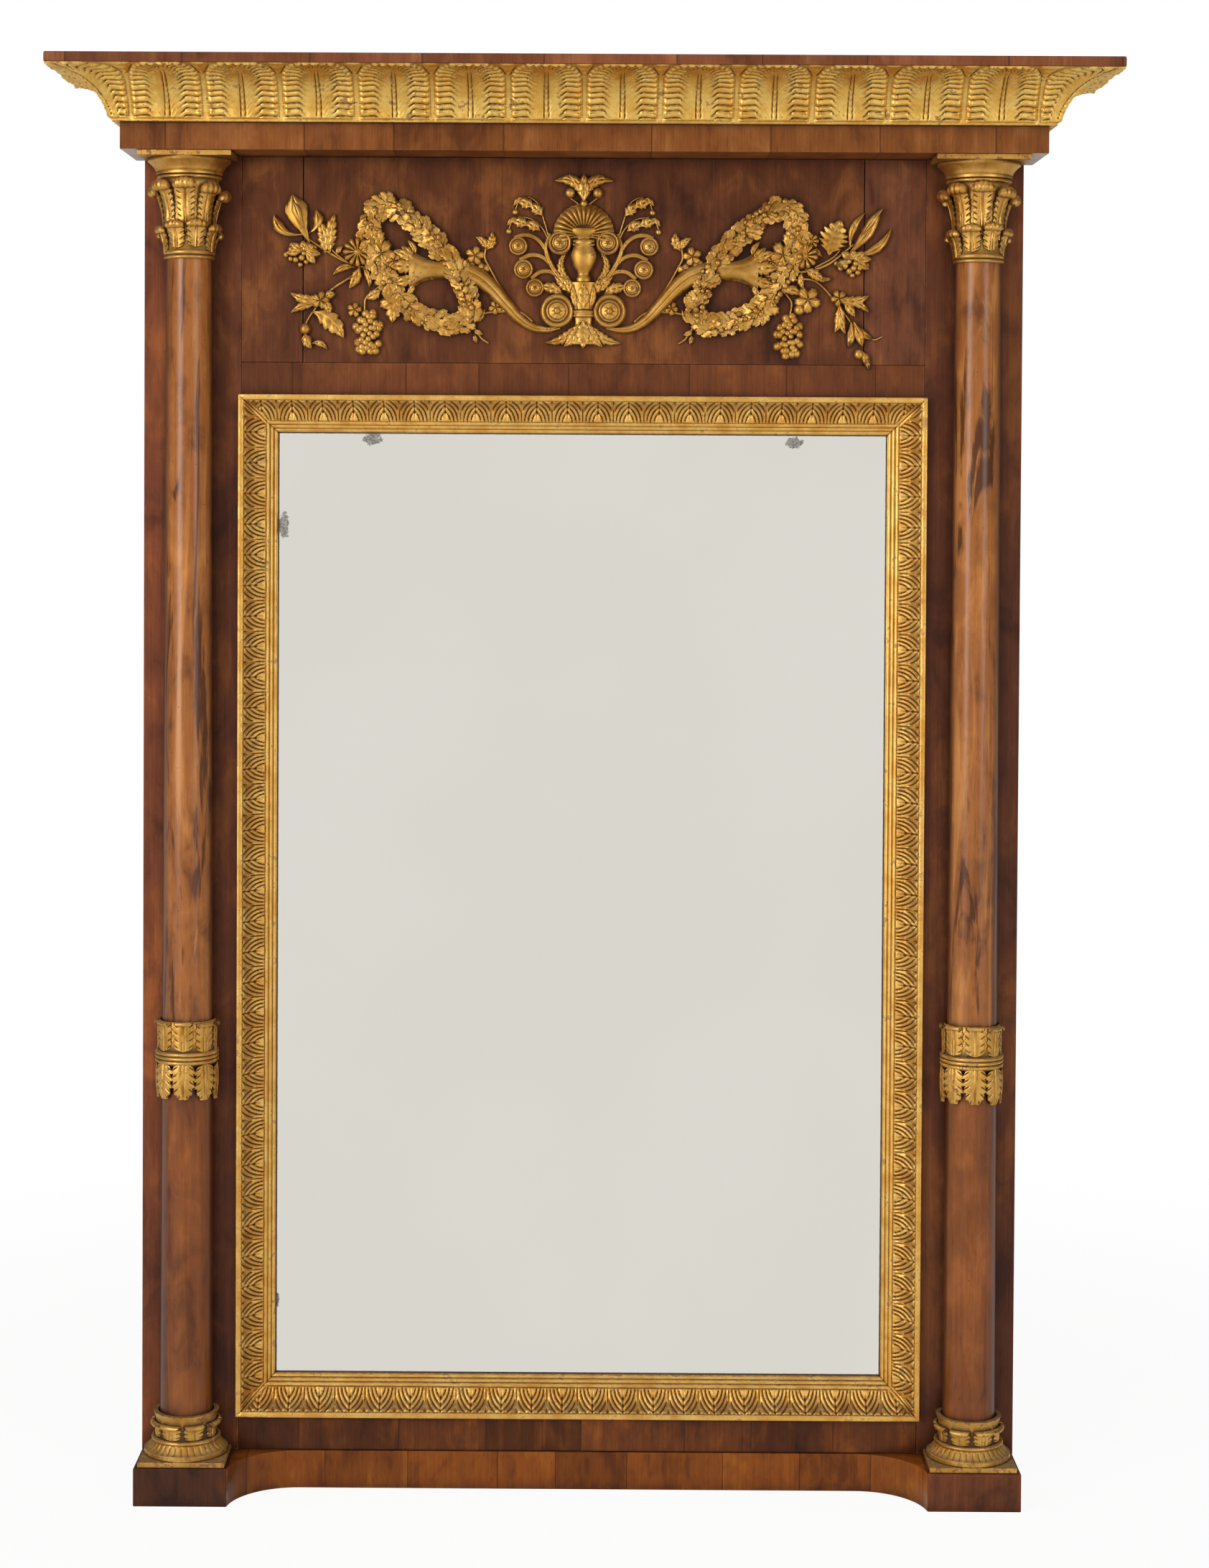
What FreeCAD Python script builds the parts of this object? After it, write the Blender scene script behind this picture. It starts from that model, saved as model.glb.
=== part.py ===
import FreeCAD, Part
import math
import os

# A pier mirror with two engaged columns, a gilt cove cornice and a gilt leaf moulding round the plate.
# Millimetres, +Z up, front towards -Y, origin under the middle of the whole mirror on the floor.
# Depths are counted from the wall towards the front.

# Fits
overrun = 5.0
same_point_distance = 0.1
joint_gap = 0.2
turned_gap = 0.3
shrinkage_gap = 0.8
smallest_chip = 60.0

# Carcass: veneered pine stiles and rails with deep sides
carcass_width = 1140.0
carcass_depth = 60.0
board_thickness = 22.0
side_thickness = 20.0
stile_width = 126.0
bottom_rail_height = 48.0
opening_height = 1330.0
frieze_rail_height = 45.0
frieze_height = 266.5
frieze_side_board_width = 80.0
batten_height = 60.0
batten_thickness = 14.0
batten_drop = 18.0
tenon_thickness = 10.0
tenon_width = 60.0
tenon_length = 20.0
rail_tenon_height = 26.0

# Plinth: two blocks under the columns and a front that sweeps back between them
plinth_height = 49.0
plinth_projection = 80.0
plinth_block_width = 120.0
plinth_middle_projection = 3.5
plinth_sweep_width = 87.0

# Entablature: architrave, gilt cove and top board
architrave_height = 34.5
architrave_projection = 78.0
architrave_side_overhang = 20.5
cove_height = 64.0
cove_run = 73.0
cove_foot_projection = 9.0
cove_foot_height = 3.0
cove_seat = 26.0
top_board_thickness = 13.0
top_board_lip = 0.5
top_board_rounding = 2.0
cornice_rail_thickness = 20.0

# Cove leaves
cove_leaf_count = 12
cove_return_leaf_count = 2
cove_leaf_relief = 3.0
cove_leaf_width_share = 0.94
cove_leaf_shares = ((0.42, 0.0), (0.50, 0.30), (0.47, 0.62), (0.33, 0.86), (0.0, 0.97))

# Columns: engaged shafts of two lengths, joined under a gilt band
column_inset = 61.0
column_stand_off = 23.0
shaft_top_radius = 29.5
shaft_bottom_radius = 34.0
slab_width = 112.0
slab_depth = 77.0
slab_thickness = 7.0
abacus_width = 120.0
abacus_depth = 76.0
abacus_thickness = 7.0

# Column base, from the slab upwards
base_fillet_radius = 54.0
base_fillet_height = 6.6
gadroon_top_radius = 43.0
gadroon_height = 10.7
gadroon_sag = 2.1
gadroon_count = 32
gadroon_flute_radius = 2.2
gadroon_top_share = 0.6
base_astragal_radius = 44.5
base_astragal_height = 5.0
collar_root_radius = 39.0
collar_rim_radius = 42.0
collar_height = 32.0
collar_rim_height = 8.0
collar_socket_depth = 26.0
collar_leaf_reach = 4.5
collar_leaf_shares = ((0.40, 0.0), (0.50, 0.35), (0.42, 0.72), (0.0, 0.98))

# Column band at two fifths of the shaft
band_middle_height = 573.0
band_bead_radius = 41.0
band_bead_height = 5.3
band_bead_count = 3
band_bead_cut_share = 0.35
band_sleeve_radius = 38.4
band_sleeve_height = 40.0
band_curl_radius = 42.5
band_curl_height = 9.0
band_drop_height = 46.0
band_drop_radius = 39.6
band_tip_radius = 36.5
band_leaf_shares = (
    (0.40, 0.0), (0.50, 0.22), (0.41, 0.30), (0.44, 0.50),
    (0.33, 0.57), (0.32, 0.76), (0.16, 0.82), (0.0, 1.0))
sleeve_leaf_shares = ((0.38, 0.0), (0.46, 0.30), (0.48, 0.68), (0.38, 0.92), (0.0, 1.0))

# Capital, from the necking upwards
capital_height = 129.5
necking_radius = 32.5
necking_height = 12.0
necking_ring_share = 0.36
bell_root_radius = 30.5
bell_top_radius = 38.0
bell_neck_radius = 36.5
lower_leaf_height = 34.0
lower_leaf_reach = 12.0
upper_leaf_height = 89.0
upper_leaf_reach = 17.0
leaf_thickness = 4.0
leaf_curl_share = 0.16
leaf_curl_shares = ((0.45, 0.90), (0.90, 1.15), (1.0, 0.55), (0.70, 0.0))
capital_leaf_count = 8
capital_ring_radius = 42.0
capital_ring_height = 4.2
echinus_foot_radius = 43.0
echinus_radius = 53.6
echinus_height = 14.0
echinus_lip_height = 3.0
capital_leaf_shares = (
    (0.34, 0.0), (0.46, 0.20), (0.40, 0.27), (0.50, 0.46),
    (0.43, 0.53), (0.49, 0.72), (0.42, 0.84), (0.22, 0.97),
    (0.0, 1.0))

# Gilt moulding round the plate, from its outer edge inwards
moulding_width = 48.0
moulding_lap = 3.0
moulding_proud = 10.0
moulding_fillet_width = 7.0
moulding_fillet_drop = 2.5
moulding_scoop_width = 27.0
moulding_scoop_drop = 24.0
moulding_scoop_sag = 4.5
moulding_bead_count = 3
moulding_bead_drop = 12.0
bead_crest_share = 0.6
bead_rise_share = 0.25
lip_thickness = 3.0
rebate_width = 13.0

# Plate and back
plate_thickness = 5.0
plate_edge_gap = 2.0
plate_back_gap = 2.0
backboard_count = 5
backboard_thickness = 8.0
backboard_lap = 16.0
block_length = 70.0
block_width = 9.0
blocks_per_side = 3
blocks_per_end = 2
nail_width = 3.0
nail_length = 16.0
nail_head_width = 8.0
nail_head_height = 1.6
nail_inset = 10.0
nail_height_share = 0.2

# Hanging irons on the back of the stiles
strap_width = 26.0
strap_length = 88.0
strap_thickness = 2.5
strap_below_frieze_top = 150.0
knuckle_radius = 5.5
knuckle_lift = 6.2
knuckle_width = 18.0
ring_wire_radius = 3.0
ring_half_width = 14.0
ring_arm_length = 20.0
screw_radius = 2.0
screw_length = 15.0
screw_head_radius = 4.5
screw_head_height = 1.4
screw_shares = (0.61, 0.85)

# Frieze ornament: gilt appliques of one thickness at the root, higher at the centre
ornament_half_width = 402.0
ornament_thickness = 7.0
leaf_relief = 5.0
urn_radius = 16.0
urn_foot_radius = 5.0
urn_neck_radius = 8.0
urn_rim_radius = 12.5
urn_shares = (0.383, 0.600)
urn_belly_share = 0.56
urn_neck_share = 0.86
shell_radius = 42.0
shell_share = 0.622
shell_flute_count = 9
shell_relief = 9.0
shell_edge_share = 0.86
volute_shares = ((0.092, 0.259, 0.055), (0.082, 0.589, 0.037))
rosette_shares = ((0.219, 0.563), (0.201, 0.462), (0.169, 0.371))
rosette_radius = 11.5
rosette_relief = 8.0
tendril_width = 5.0
tendril_root_shares = ((0.13, 0.60), (0.125, 0.52), (0.12, 0.45))
tendril_crest_shares = ((0.185, 0.640), (0.170, 0.545), (0.145, 0.455))
crown_shares = (
    (0.010, 0.782), (0.045, 0.810), (0.090, 0.800), (0.080, 0.835),
    (0.093, 0.875), (0.062, 0.868), (0.050, 0.910),
    (0.025, 0.885), (0.0, 0.925))
foot_shares = (
    (0.0, 0.240), (0.030, 0.235), (0.045, 0.200), (0.085, 0.180),
    (0.117, 0.135), (0.113, 0.085), (0.085, 0.115),
    (0.070, 0.068), (0.040, 0.105), (0.0, 0.068))
stem_shares = ((0.030, 0.235), (0.046, 0.300), (0.030, 0.390))
sprig_shares = (
    ((0.105, 0.600), (0.150, 0.690), (0.215, 0.680)),
    ((0.100, 0.640), (0.135, 0.740), (0.205, 0.770)))
sprig_width = 11.0

# Cornucopia, wreath and sprays, given for the right half
horn_shares = (
    (0.075, 0.180), (0.177, 0.218), (0.251, 0.326), (0.323, 0.420),
    (0.398, 0.469), (0.480, 0.468), (0.540, 0.452))
horn_radii = (3.0, 6.0, 9.0, 11.0, 12.5, 14.0, 19.0)
horn_flat_count = 8
wreath_centre_share = (0.537, 0.473)
wreath_long_radius = 95.0
wreath_short_radius = 43.0
wreath_tilt = 55.0
wreath_stem_width = 13.0
wreath_relief = 11.0
wreath_leaf_count = 26
wreath_leaf_length = 26.0
wreath_leaf_lean = 32.0
plain_leaf_shares = ((0.10, 0.0), (0.36, 0.22), (0.46, 0.48), (0.32, 0.78), (0.0, 1.0))
cut_leaf_shares = (
    (0.08, 0.0), (0.30, 0.10), (0.26, 0.20), (0.46, 0.30),
    (0.36, 0.42), (0.48, 0.56), (0.30, 0.66), (0.34, 0.80),
    (0.14, 0.86), (0.0, 1.0))
spray_leaf_shares = (
    (0.600, 0.560, 0.900, 0.720, 0.100), (0.620, 0.510, 0.800, 0.640, 0.090),
    (0.640, 0.480, 0.770, 0.520, 0.070),
    (0.620, 0.430, 0.830, 0.400, 0.070), (0.800, 0.620, 0.970, 0.800, 0.090))
lily_shares = (0.900, 0.660, 0.960, 0.810, 0.110)
berry_shares = (
    (0.875, 0.470), (0.915, 0.500), (0.860, 0.525), (0.905, 0.555), (0.950, 0.540), (0.945, 0.480))
berry_radius = 9.0
berry_side_count = 6
berry_crown_share = 0.5
daisy_share = (0.772, 0.585)
daisy_radius = 15.0
daisy_petal_count = 8
drop_leaf_shares = (
    (0.640, 0.400, 0.800, 0.300, 0.090), (0.700, 0.330, 0.930, 0.300, 0.080),
    (0.740, 0.290, 0.950, 0.180, 0.080),
    (0.700, 0.260, 0.850, 0.090, 0.080), (0.600, 0.380, 0.640, 0.200, 0.120))
grape_shares = (
    (0.660, 0.260), (0.700, 0.265), (0.740, 0.250), (0.670, 0.215),
    (0.710, 0.210), (0.735, 0.195), (0.665, 0.170),
    (0.700, 0.160), (0.690, 0.115), (0.715, 0.120))
grape_radius = 9.5

# Places worked out from the sizes above
V = FreeCAD.Vector
half_width = carcass_width / 2
opening_half = half_width - stile_width
stile_back = carcass_depth - board_thickness
carcass_base = plinth_height
opening_base = carcass_base + bottom_rail_height
opening_top = opening_base + opening_height
frieze_base = opening_top + frieze_rail_height
carcass_top = frieze_base + frieze_height
architrave_front = carcass_depth + architrave_projection
architrave_half = half_width + architrave_side_overhang
cove_base = carcass_top + architrave_height
cove_top = cove_base + cove_height
cove_foot = architrave_front + cove_foot_projection
cove_front_depth = cove_foot + cove_run
overall_depth = cove_front_depth + top_board_lip
cove_half = architrave_half + cove_foot_projection
top_half = cove_half + cove_run + top_board_lip
wall_y = overall_depth / 2
column_x = half_width - column_inset
column_depth = carcass_depth + column_stand_off
slab_top = plinth_height + slab_thickness
collar_base = slab_top + base_fillet_height + gadroon_height + base_astragal_height
collar_top = collar_base + collar_height
abacus_base = carcass_top - abacus_thickness
capital_base = abacus_base - capital_height
shaft_base = collar_top - collar_socket_depth
moulding_front = carcass_depth + moulding_proud
lip_front = moulding_front - moulding_fillet_drop - moulding_scoop_drop - moulding_bead_drop
plate_front = lip_front - lip_thickness
plate_back = plate_front - plate_thickness
moulding_back = plate_back - plate_back_gap
backboard_back = moulding_back - backboard_thickness
outer_half = opening_half + moulding_lap
outer_base = opening_base - moulding_lap
outer_top = opening_top + moulding_lap
sight_half = outer_half - moulding_width
sight_base = outer_base + moulding_width
sight_top = outer_top - moulding_width
strap_top = carcass_top - strap_below_frieze_top
hinge_height = strap_top
strap_x = half_width - stile_width / 2


def y_at(depth):
    return wall_y - depth


def block(x, depth, z):
    """Box between two places across, two depths from the wall and two heights."""
    corner = V(x[0], y_at(depth[1]), z[0])
    return Part.makeBox(x[1] - x[0], depth[1] - depth[0], z[1] - z[0], corner)


def mirrored(shape):
    return shape.mirror(V(0, 0, 0), V(1, 0, 0))


def face_of(place, start, *steps):
    """Face inside straight steps (u, v) and arc steps ((u, v) on the arc, (u, v) at its end)."""
    edges = []
    here = place(*start)
    for step in steps + (start,):
        if isinstance(step[0], tuple):
            there = place(*step[1])
            edges.append(Part.Arc(here, place(*step[0]), there).toShape())
        else:
            there = place(*step)
            if here.isEqual(there, same_point_distance):
                continue
            edges.append(Part.makeLine(here, there))
        here = there
    return Part.Face(Part.Wire(edges))


def fused(shapes):
    return shapes[0].multiFuse(shapes[1:]).removeSplitter()


def without(shape, cut):
    """What is left beside another piece, less any chip too small to carve."""
    solids = [solid for solid in shape.cut(cut).Solids if solid.Volume > smallest_chip]
    return Part.makeCompound(solids)


# Carcass
def stile():
    """Right stile with a tenon at each end for the plinth block and the architrave."""
    body = block((opening_half, half_width), (stile_back, carcass_depth), (carcass_base, carcass_top))
    middle = half_width - stile_width / 2
    tenon_x = (middle - tenon_width / 2, middle + tenon_width / 2)
    tenon = block(tenon_x, tenon_depths(), (carcass_base - tenon_length, carcass_top + tenon_length))
    body = body.fuse(tenon).removeSplitter()
    for rail_middle in rail_middles():
        half = rail_tenon_height / 2 + joint_gap
        x = (opening_half - overrun, opening_half + tenon_length + joint_gap)
        body = body.cut(block(x, tenon_depths(joint_gap), (rail_middle - half, rail_middle + half)))
    return body.cut(screw_holes())


def tenon_depths(gap=0):
    middle = (stile_back + carcass_depth) / 2
    return (middle - tenon_thickness / 2 - gap, middle + tenon_thickness / 2 + gap)


def rail_middles():
    return (opening_base - bottom_rail_height / 2, frieze_base - frieze_rail_height / 2)


def rail(base, top):
    """Rail between the stiles with a tenon at each end."""
    body = block((-opening_half, opening_half), (stile_back, carcass_depth), (base, top))
    middle = (base + top) / 2
    reach = opening_half + tenon_length
    half = rail_tenon_height / 2
    return body.fuse(block((-reach, reach), tenon_depths(), (middle - half, middle + half))).removeSplitter()


def mortise(base, top):
    """Right mortise that takes the end of a stile's tenon."""
    middle = half_width - stile_width / 2
    half = tenon_width / 2 + joint_gap
    return block((middle - half, middle + half), tenon_depths(joint_gap), (base, top))


def side_board():
    return block((half_width - side_thickness, half_width), (0, stile_back), (carcass_base, carcass_top))


def frieze_board(x):
    return block(x, (stile_back, carcass_depth), (frieze_base, carcass_top))


def frieze_batten():
    """Pine batten across the back of the three frieze boards, between the sides."""
    reach = half_width - side_thickness
    top = carcass_top - batten_drop
    return block((-reach, reach), (stile_back - batten_thickness, stile_back), (top - batten_height, top))


# Plinth
def plinth_block():
    front = carcass_depth + plinth_projection
    body = block((half_width - plinth_block_width, half_width), (0, front), (0, plinth_height))
    return body.cut(mortise(plinth_height - tenon_length - joint_gap, plinth_height + overrun))


def plinth_rail():
    """Front between the blocks, straight in the middle and swept forward to the corner of each block."""
    front = carcass_depth + plinth_projection
    middle = carcass_depth + plinth_middle_projection
    end = half_width - plinth_block_width
    rise = front - middle
    radius = (plinth_sweep_width ** 2 + rise ** 2) / (2 * rise)
    straight = end - plinth_sweep_width
    turn = math.asin(plinth_sweep_width / radius) / 2
    mid = (straight + radius * math.sin(turn), middle + radius * (1 - math.cos(turn)))
    outline = face_of(
        lambda x, depth: V(x, y_at(depth), 0),
        (-end, 0), (end, 0), (end, front), (mid, (straight, middle)), (-straight, middle),
        ((-mid[0], mid[1]), (-end, front)))
    return outline.extrude(V(0, 0, plinth_height))


# Entablature
def architrave():
    body = block((-architrave_half, architrave_half), (0, architrave_front), (carcass_top, cove_base))
    hole = mortise(carcass_top - overrun, carcass_top + tenon_length + joint_gap)
    return body.cut(hole).cut(mirrored(hole))


def cove_curve(relief):
    """Foot, middle and top of the hollow, level at the top, as depth and height."""
    rise = cove_height - cove_foot_height
    radius = (cove_run ** 2 + rise ** 2) / (2 * rise)
    centre = (cove_foot + cove_run, cove_top - radius)
    reach = radius - relief
    low = cove_base + cove_foot_height
    start = math.acos((low - centre[1]) / reach)
    foot = (centre[0] - reach * math.sin(start), low)
    middle = (centre[0] - reach * math.sin(start / 2), centre[1] + reach * math.cos(start / 2))
    return foot, middle, (centre[0], centre[1] + reach)


def cove_section(place, relief=0):
    foot, middle, high = cove_curve(relief)
    back = architrave_front - cove_seat
    return face_of(
        place, (back, cove_base), (foot[0], cove_base), foot, (middle, high), (high[0], cove_top),
        (back, cove_top))


def leaf_points(shares, width, height):
    """Outline of a leaf about its midrib, from root to tip on one side and back on the other."""
    right = [(across * width, up * height) for across, up in shares]
    left = [(-across, up) for across, up in reversed(right) if across]
    return right + left


def cove_leaves(places, cut_place, solid, direction, reach):
    """Raised leaves: the thicker hollow kept inside each leaf's outline."""
    pitch = 2 * cove_half / cove_leaf_count
    outline = leaf_points(cove_leaf_shares, pitch * cove_leaf_width_share, cove_height)
    leaves = []
    for middle in places:
        points = [(middle + across, cove_base + up) for across, up in outline]
        prism = face_of(cut_place, *points).extrude(direction * reach)
        leaves.append(solid.common(prism))
    return leaves


def mitre_wedge(side):
    """Prism over the corner, bounded by the diagonal from the cove's foot outwards."""
    far = cove_front_depth + overrun
    out = cove_half + cove_run + overrun
    inner = side * (out - far)
    triangle = face_of(
        lambda x, depth: V(x, y_at(depth), cove_base - overrun),
        (side * out, far), (side * out, 0), (inner, 0))
    return triangle.extrude(V(0, 0, cove_height + 2 * overrun))


def cove_front():
    reach = cove_half + cove_run
    section = cove_section(lambda depth, z: V(-reach, y_at(depth), z))
    thick = cove_section(lambda depth, z: V(-reach, y_at(depth), z), cove_leaf_relief)
    pitch = 2 * cove_half / cove_leaf_count
    places = [(place + 0.5) * pitch - cove_half for place in range(cove_leaf_count)]
    leaves = cove_leaves(
        places, lambda x, z: V(x, y_at(0), z), thick.extrude(V(2 * reach, 0, 0)), V(0, -1, 0), overall_depth)
    body = fused([section.extrude(V(2 * reach, 0, 0))] + leaves)
    return body.cut(mitre_wedge(1)).cut(mitre_wedge(-1))


def cove_return():
    """Right return, mitred to the front and square at the wall."""
    shift = cove_half - cove_foot

    def place(run, z):
        return V(run + shift, y_at(0), z)

    length = V(0, -cove_front_depth, 0)
    section = cove_section(place)
    thick = cove_section(place, cove_leaf_relief)
    pitch = 2 * cove_half / cove_leaf_count
    places = [(place_count + 0.5) * pitch for place_count in range(cove_return_leaf_count)]
    leaves = cove_leaves(
        places, lambda along, z: V(0, y_at(along), z), thick.extrude(length), V(1, 0, 0), top_half)
    body = fused([section.extrude(length)] + leaves)
    return body.common(mitre_wedge(1))


def cornice_top_board():
    board = block((-top_half, top_half), (0, overall_depth), (cove_top, cove_top + top_board_thickness))
    edges = [edge for edge in board.Edges if edge.BoundBox.ZMin > cove_top and edge.BoundBox.YMax < y_at(0)]
    return board.makeFillet(top_board_rounding, edges)


def cornice_rail():
    """Pine rail closing the back of the hollow cornice between the returns."""
    reach = architrave_half - cove_seat
    return block((-reach, reach), (0, cornice_rail_thickness), (cove_base, cove_top))


# Columns
def engaged(shape):
    """What stands in front of the carcass face."""
    reach = plinth_block_width
    x = (column_x - reach, column_x + reach)
    return shape.common(block(x, (carcass_depth, overall_depth), (0, cove_top)))


def turned(*outline):
    """Solid turned about the column's axis from points and arcs in radius and height."""
    axis = V(column_x, y_at(column_depth), 0)
    face = face_of(lambda radius, z: axis + V(radius, 0, z), *outline)
    return face.revolve(axis, V(0, 0, 1), 360)


def shaft_radius(z):
    share = (z - collar_top) / (capital_base - collar_top)
    return shaft_bottom_radius + (shaft_top_radius - shaft_bottom_radius) * share


def shaft(base, top):
    return engaged(turned((0, base), (shaft_radius(base), base), (shaft_radius(top), top), (0, top)))


def ring_leaf(profile, shares, width, base, height, direction):
    """One leaf at the front: its side profile carried across and kept inside the leaf's outline."""
    side = face_of(lambda radius, z: V(column_x - width, y_at(column_depth + radius), z), *profile)
    body = side.extrude(V(2 * width, 0, 0))
    outline = leaf_points(shares, width, height)
    points = [(column_x + across, base + direction * up) for across, up in outline]
    prism = face_of(lambda x, z: V(x, y_at(column_depth), z), *points)
    return body.common(prism.extrude(V(0, -plinth_block_width, 0)))


def ring_of(leaf, count, phase):
    """Copies of the front leaf round the column, as far back as the carcass leaves room."""
    axis = V(column_x, y_at(column_depth), 0)
    leaves = []
    step = 360 / count
    for place in range(count):
        angle = (place + phase) * step
        turn = min(angle, 360 - angle)
        if turn <= 90 + step / 2:
            copy = leaf.copy()
            copy.rotate(axis, V(0, 0, 1), angle)
            leaves.append(copy)
    return leaves


def slab():
    x = (column_x - slab_width / 2, column_x + slab_width / 2)
    return block(x, (carcass_depth, carcass_depth + slab_depth), (plinth_height, slab_top))


def abacus():
    x = (column_x - abacus_width / 2, column_x + abacus_width / 2)
    return block(x, (carcass_depth, carcass_depth + abacus_depth), (abacus_base, carcass_top))


def flute(axis, toward, side, base, top):
    """Straight-sided groove between two gadroons, narrowing upwards."""
    rings = []
    for radius, narrow, z in ((base_fillet_radius, 1, base), (gadroon_top_radius, gadroon_top_share, top)):
        out = axis + toward * (radius + gadroon_flute_radius) + V(0, 0, z)
        bottom = axis + toward * (radius - gadroon_flute_radius) + V(0, 0, z)
        left, right = out - side * narrow, out + side * narrow
        rings.append(Part.makePolygon([left, right, bottom, left]))
    return Part.makeLoft(rings, True, True)


def column_base():
    """Fillet, gadrooned swell, astragal and leaf collar, hollowed for the foot of the shaft."""
    fillet_top = slab_top + base_fillet_height
    swell_top = fillet_top + gadroon_height
    swell_mid = ((base_fillet_radius + gadroon_top_radius) / 2, (fillet_top + swell_top) / 2)
    bead = (base_astragal_radius, (swell_top + collar_base) / 2)
    socket = shaft_radius(shaft_base) + turned_gap
    body = turned(
        (0, slab_top), (base_fillet_radius, slab_top), (base_fillet_radius, fillet_top),
        (swell_mid[0] - gadroon_sag, swell_mid[1] - gadroon_sag), (gadroon_top_radius, swell_top),
        (bead, (gadroon_top_radius, collar_base)), (collar_root_radius, collar_base),
        (collar_root_radius, collar_top - collar_rim_height), (collar_rim_radius, collar_top),
        (socket, collar_top), (socket, shaft_base), (0, shaft_base))
    axis = V(column_x, y_at(column_depth), 0)
    flutes = []
    for place in range(gadroon_count):
        angle = 2 * math.pi * (place + 0.5) / gadroon_count
        toward = V(math.cos(angle), math.sin(angle), 0)
        if toward.y > column_stand_off / gadroon_top_radius:
            continue
        side = V(-toward.y, toward.x, 0) * gadroon_flute_radius
        flutes.append(flute(axis, toward, side, fillet_top, swell_top))
    body = body.cut(Part.makeCompound(flutes))
    top = collar_top - collar_rim_height
    leaf = ring_leaf(
        ((socket + turned_gap, collar_base), (collar_root_radius + leaf_thickness / 2, collar_base),
         (collar_root_radius + leaf_thickness / 2, top - collar_leaf_reach),
         (collar_root_radius + collar_leaf_reach, top), (socket + turned_gap, top)),
        collar_leaf_shares, leaf_span(collar_root_radius), collar_base, top - collar_base, 1)
    return engaged(fused([body] + ring_of(leaf, capital_leaf_count, 0)))


def leaf_span(radius):
    """Width across of one leaf when the ring of leaves just closes at this radius."""
    return 2 * radius * math.sin(math.pi / capital_leaf_count)


def band():
    """Triple bead with a sleeve of upright leaves above and hanging cut leaves below."""
    bead_top = band_middle_height + band_bead_height * band_bead_count / 2
    bead_base = bead_top - band_bead_height * band_bead_count
    root = band_sleeve_radius - leaf_thickness / 2
    steps = []
    for place in range(band_bead_count):
        low = bead_base + place * band_bead_height
        cut = band_bead_radius - band_bead_height * band_bead_cut_share
        steps += [(cut, low), ((band_bead_radius, low + band_bead_height / 2), (cut, low + band_bead_height))]
    sleeve_top = bead_top + band_sleeve_height
    drop_base = bead_base - band_drop_height

    def bore(z):
        return (shaft_radius(z) + turned_gap, z)

    body = turned(
        bore(bead_base), *steps, (root, bead_top), (root, sleeve_top - band_curl_height), bore(sleeve_top))
    upright = ring_leaf(
        (bore(bead_top), (band_sleeve_radius, bead_top),
         (band_sleeve_radius, sleeve_top - band_curl_height),
         (band_curl_radius, sleeve_top - band_curl_height / 2),
         (band_sleeve_radius, sleeve_top), bore(sleeve_top)),
        sleeve_leaf_shares, leaf_span(band_sleeve_radius), bead_top, band_sleeve_height, 1)
    hanging = ring_leaf(
        (bore(bead_base), (band_drop_radius, bead_base), (band_tip_radius, drop_base), bore(drop_base)),
        band_leaf_shares, leaf_span(band_drop_radius), bead_base, band_drop_height, -1)
    leaves = ring_of(upright, capital_leaf_count, 0) + ring_of(hanging, capital_leaf_count, 0)
    return engaged(fused([body] + leaves))


def bell_radius(z):
    share = (z - capital_base - necking_height) / (upper_leaf_height - necking_height)
    return bell_root_radius + (bell_top_radius - bell_root_radius) * share ** 2


def capital_leaf(height, reach, width):
    """Upright leaf on the bell whose tip rolls over outwards."""
    root = capital_base + necking_height
    tip = capital_base + necking_height + height
    roll = height * leaf_curl_share
    middle = (root + tip) / 2
    inside = bell_root_radius / 2
    neck = bell_radius(tip - 2 * roll) + leaf_thickness
    curl = [(neck + reach * out, tip - roll * drop) for out, drop in leaf_curl_shares]
    return ring_leaf(
        ((inside, root), (bell_radius(root) + leaf_thickness, root),
         (bell_radius(middle) + leaf_thickness, middle), (neck, tip - 2 * roll), *curl, (neck, tip),
         (inside, tip)),
        capital_leaf_shares, width, root, height, 1)


def capital():
    """Necking, bell with two rows of leaves, ring and flaring echinus, carved in one."""
    necking_top = capital_base + necking_height
    split = capital_base + necking_height / 2
    cut = necking_radius - necking_height * necking_ring_share / 2
    bell_top = necking_top + upper_leaf_height
    ring_base = abacus_base - echinus_height - capital_ring_height
    ring_top = ring_base + capital_ring_height
    ring_root = capital_ring_radius - capital_ring_height / 2
    lip = abacus_base - echinus_lip_height
    hollow = ((echinus_foot_radius + echinus_radius) / 2 - echinus_lip_height / 2, (ring_top + lip) / 2)
    waist = (necking_top + bell_top) / 2
    body = turned(
        (0, capital_base), (cut, capital_base),
        ((necking_radius, (capital_base + split) / 2), (cut, split)),
        ((necking_radius, (split + necking_top) / 2), (cut, necking_top)),
        (bell_radius(waist), waist), (bell_top_radius, bell_top), (bell_neck_radius, ring_base),
        (ring_root, ring_base), ((capital_ring_radius, (ring_base + ring_top) / 2), (ring_root, ring_top)),
        (echinus_foot_radius, ring_top), (hollow, (echinus_radius, lip)), (echinus_radius, abacus_base),
        (0, abacus_base))
    lower = capital_leaf(lower_leaf_height, lower_leaf_reach, leaf_span(bell_root_radius + leaf_thickness))
    upper = capital_leaf(
        upper_leaf_height, upper_leaf_reach, leaf_span(bell_top_radius + leaf_thickness))
    leaves = ring_of(upper, capital_leaf_count, 0) + ring_of(lower, capital_leaf_count, 0.5)
    return fused([engaged(piece) for piece in [body] + leaves])


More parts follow.
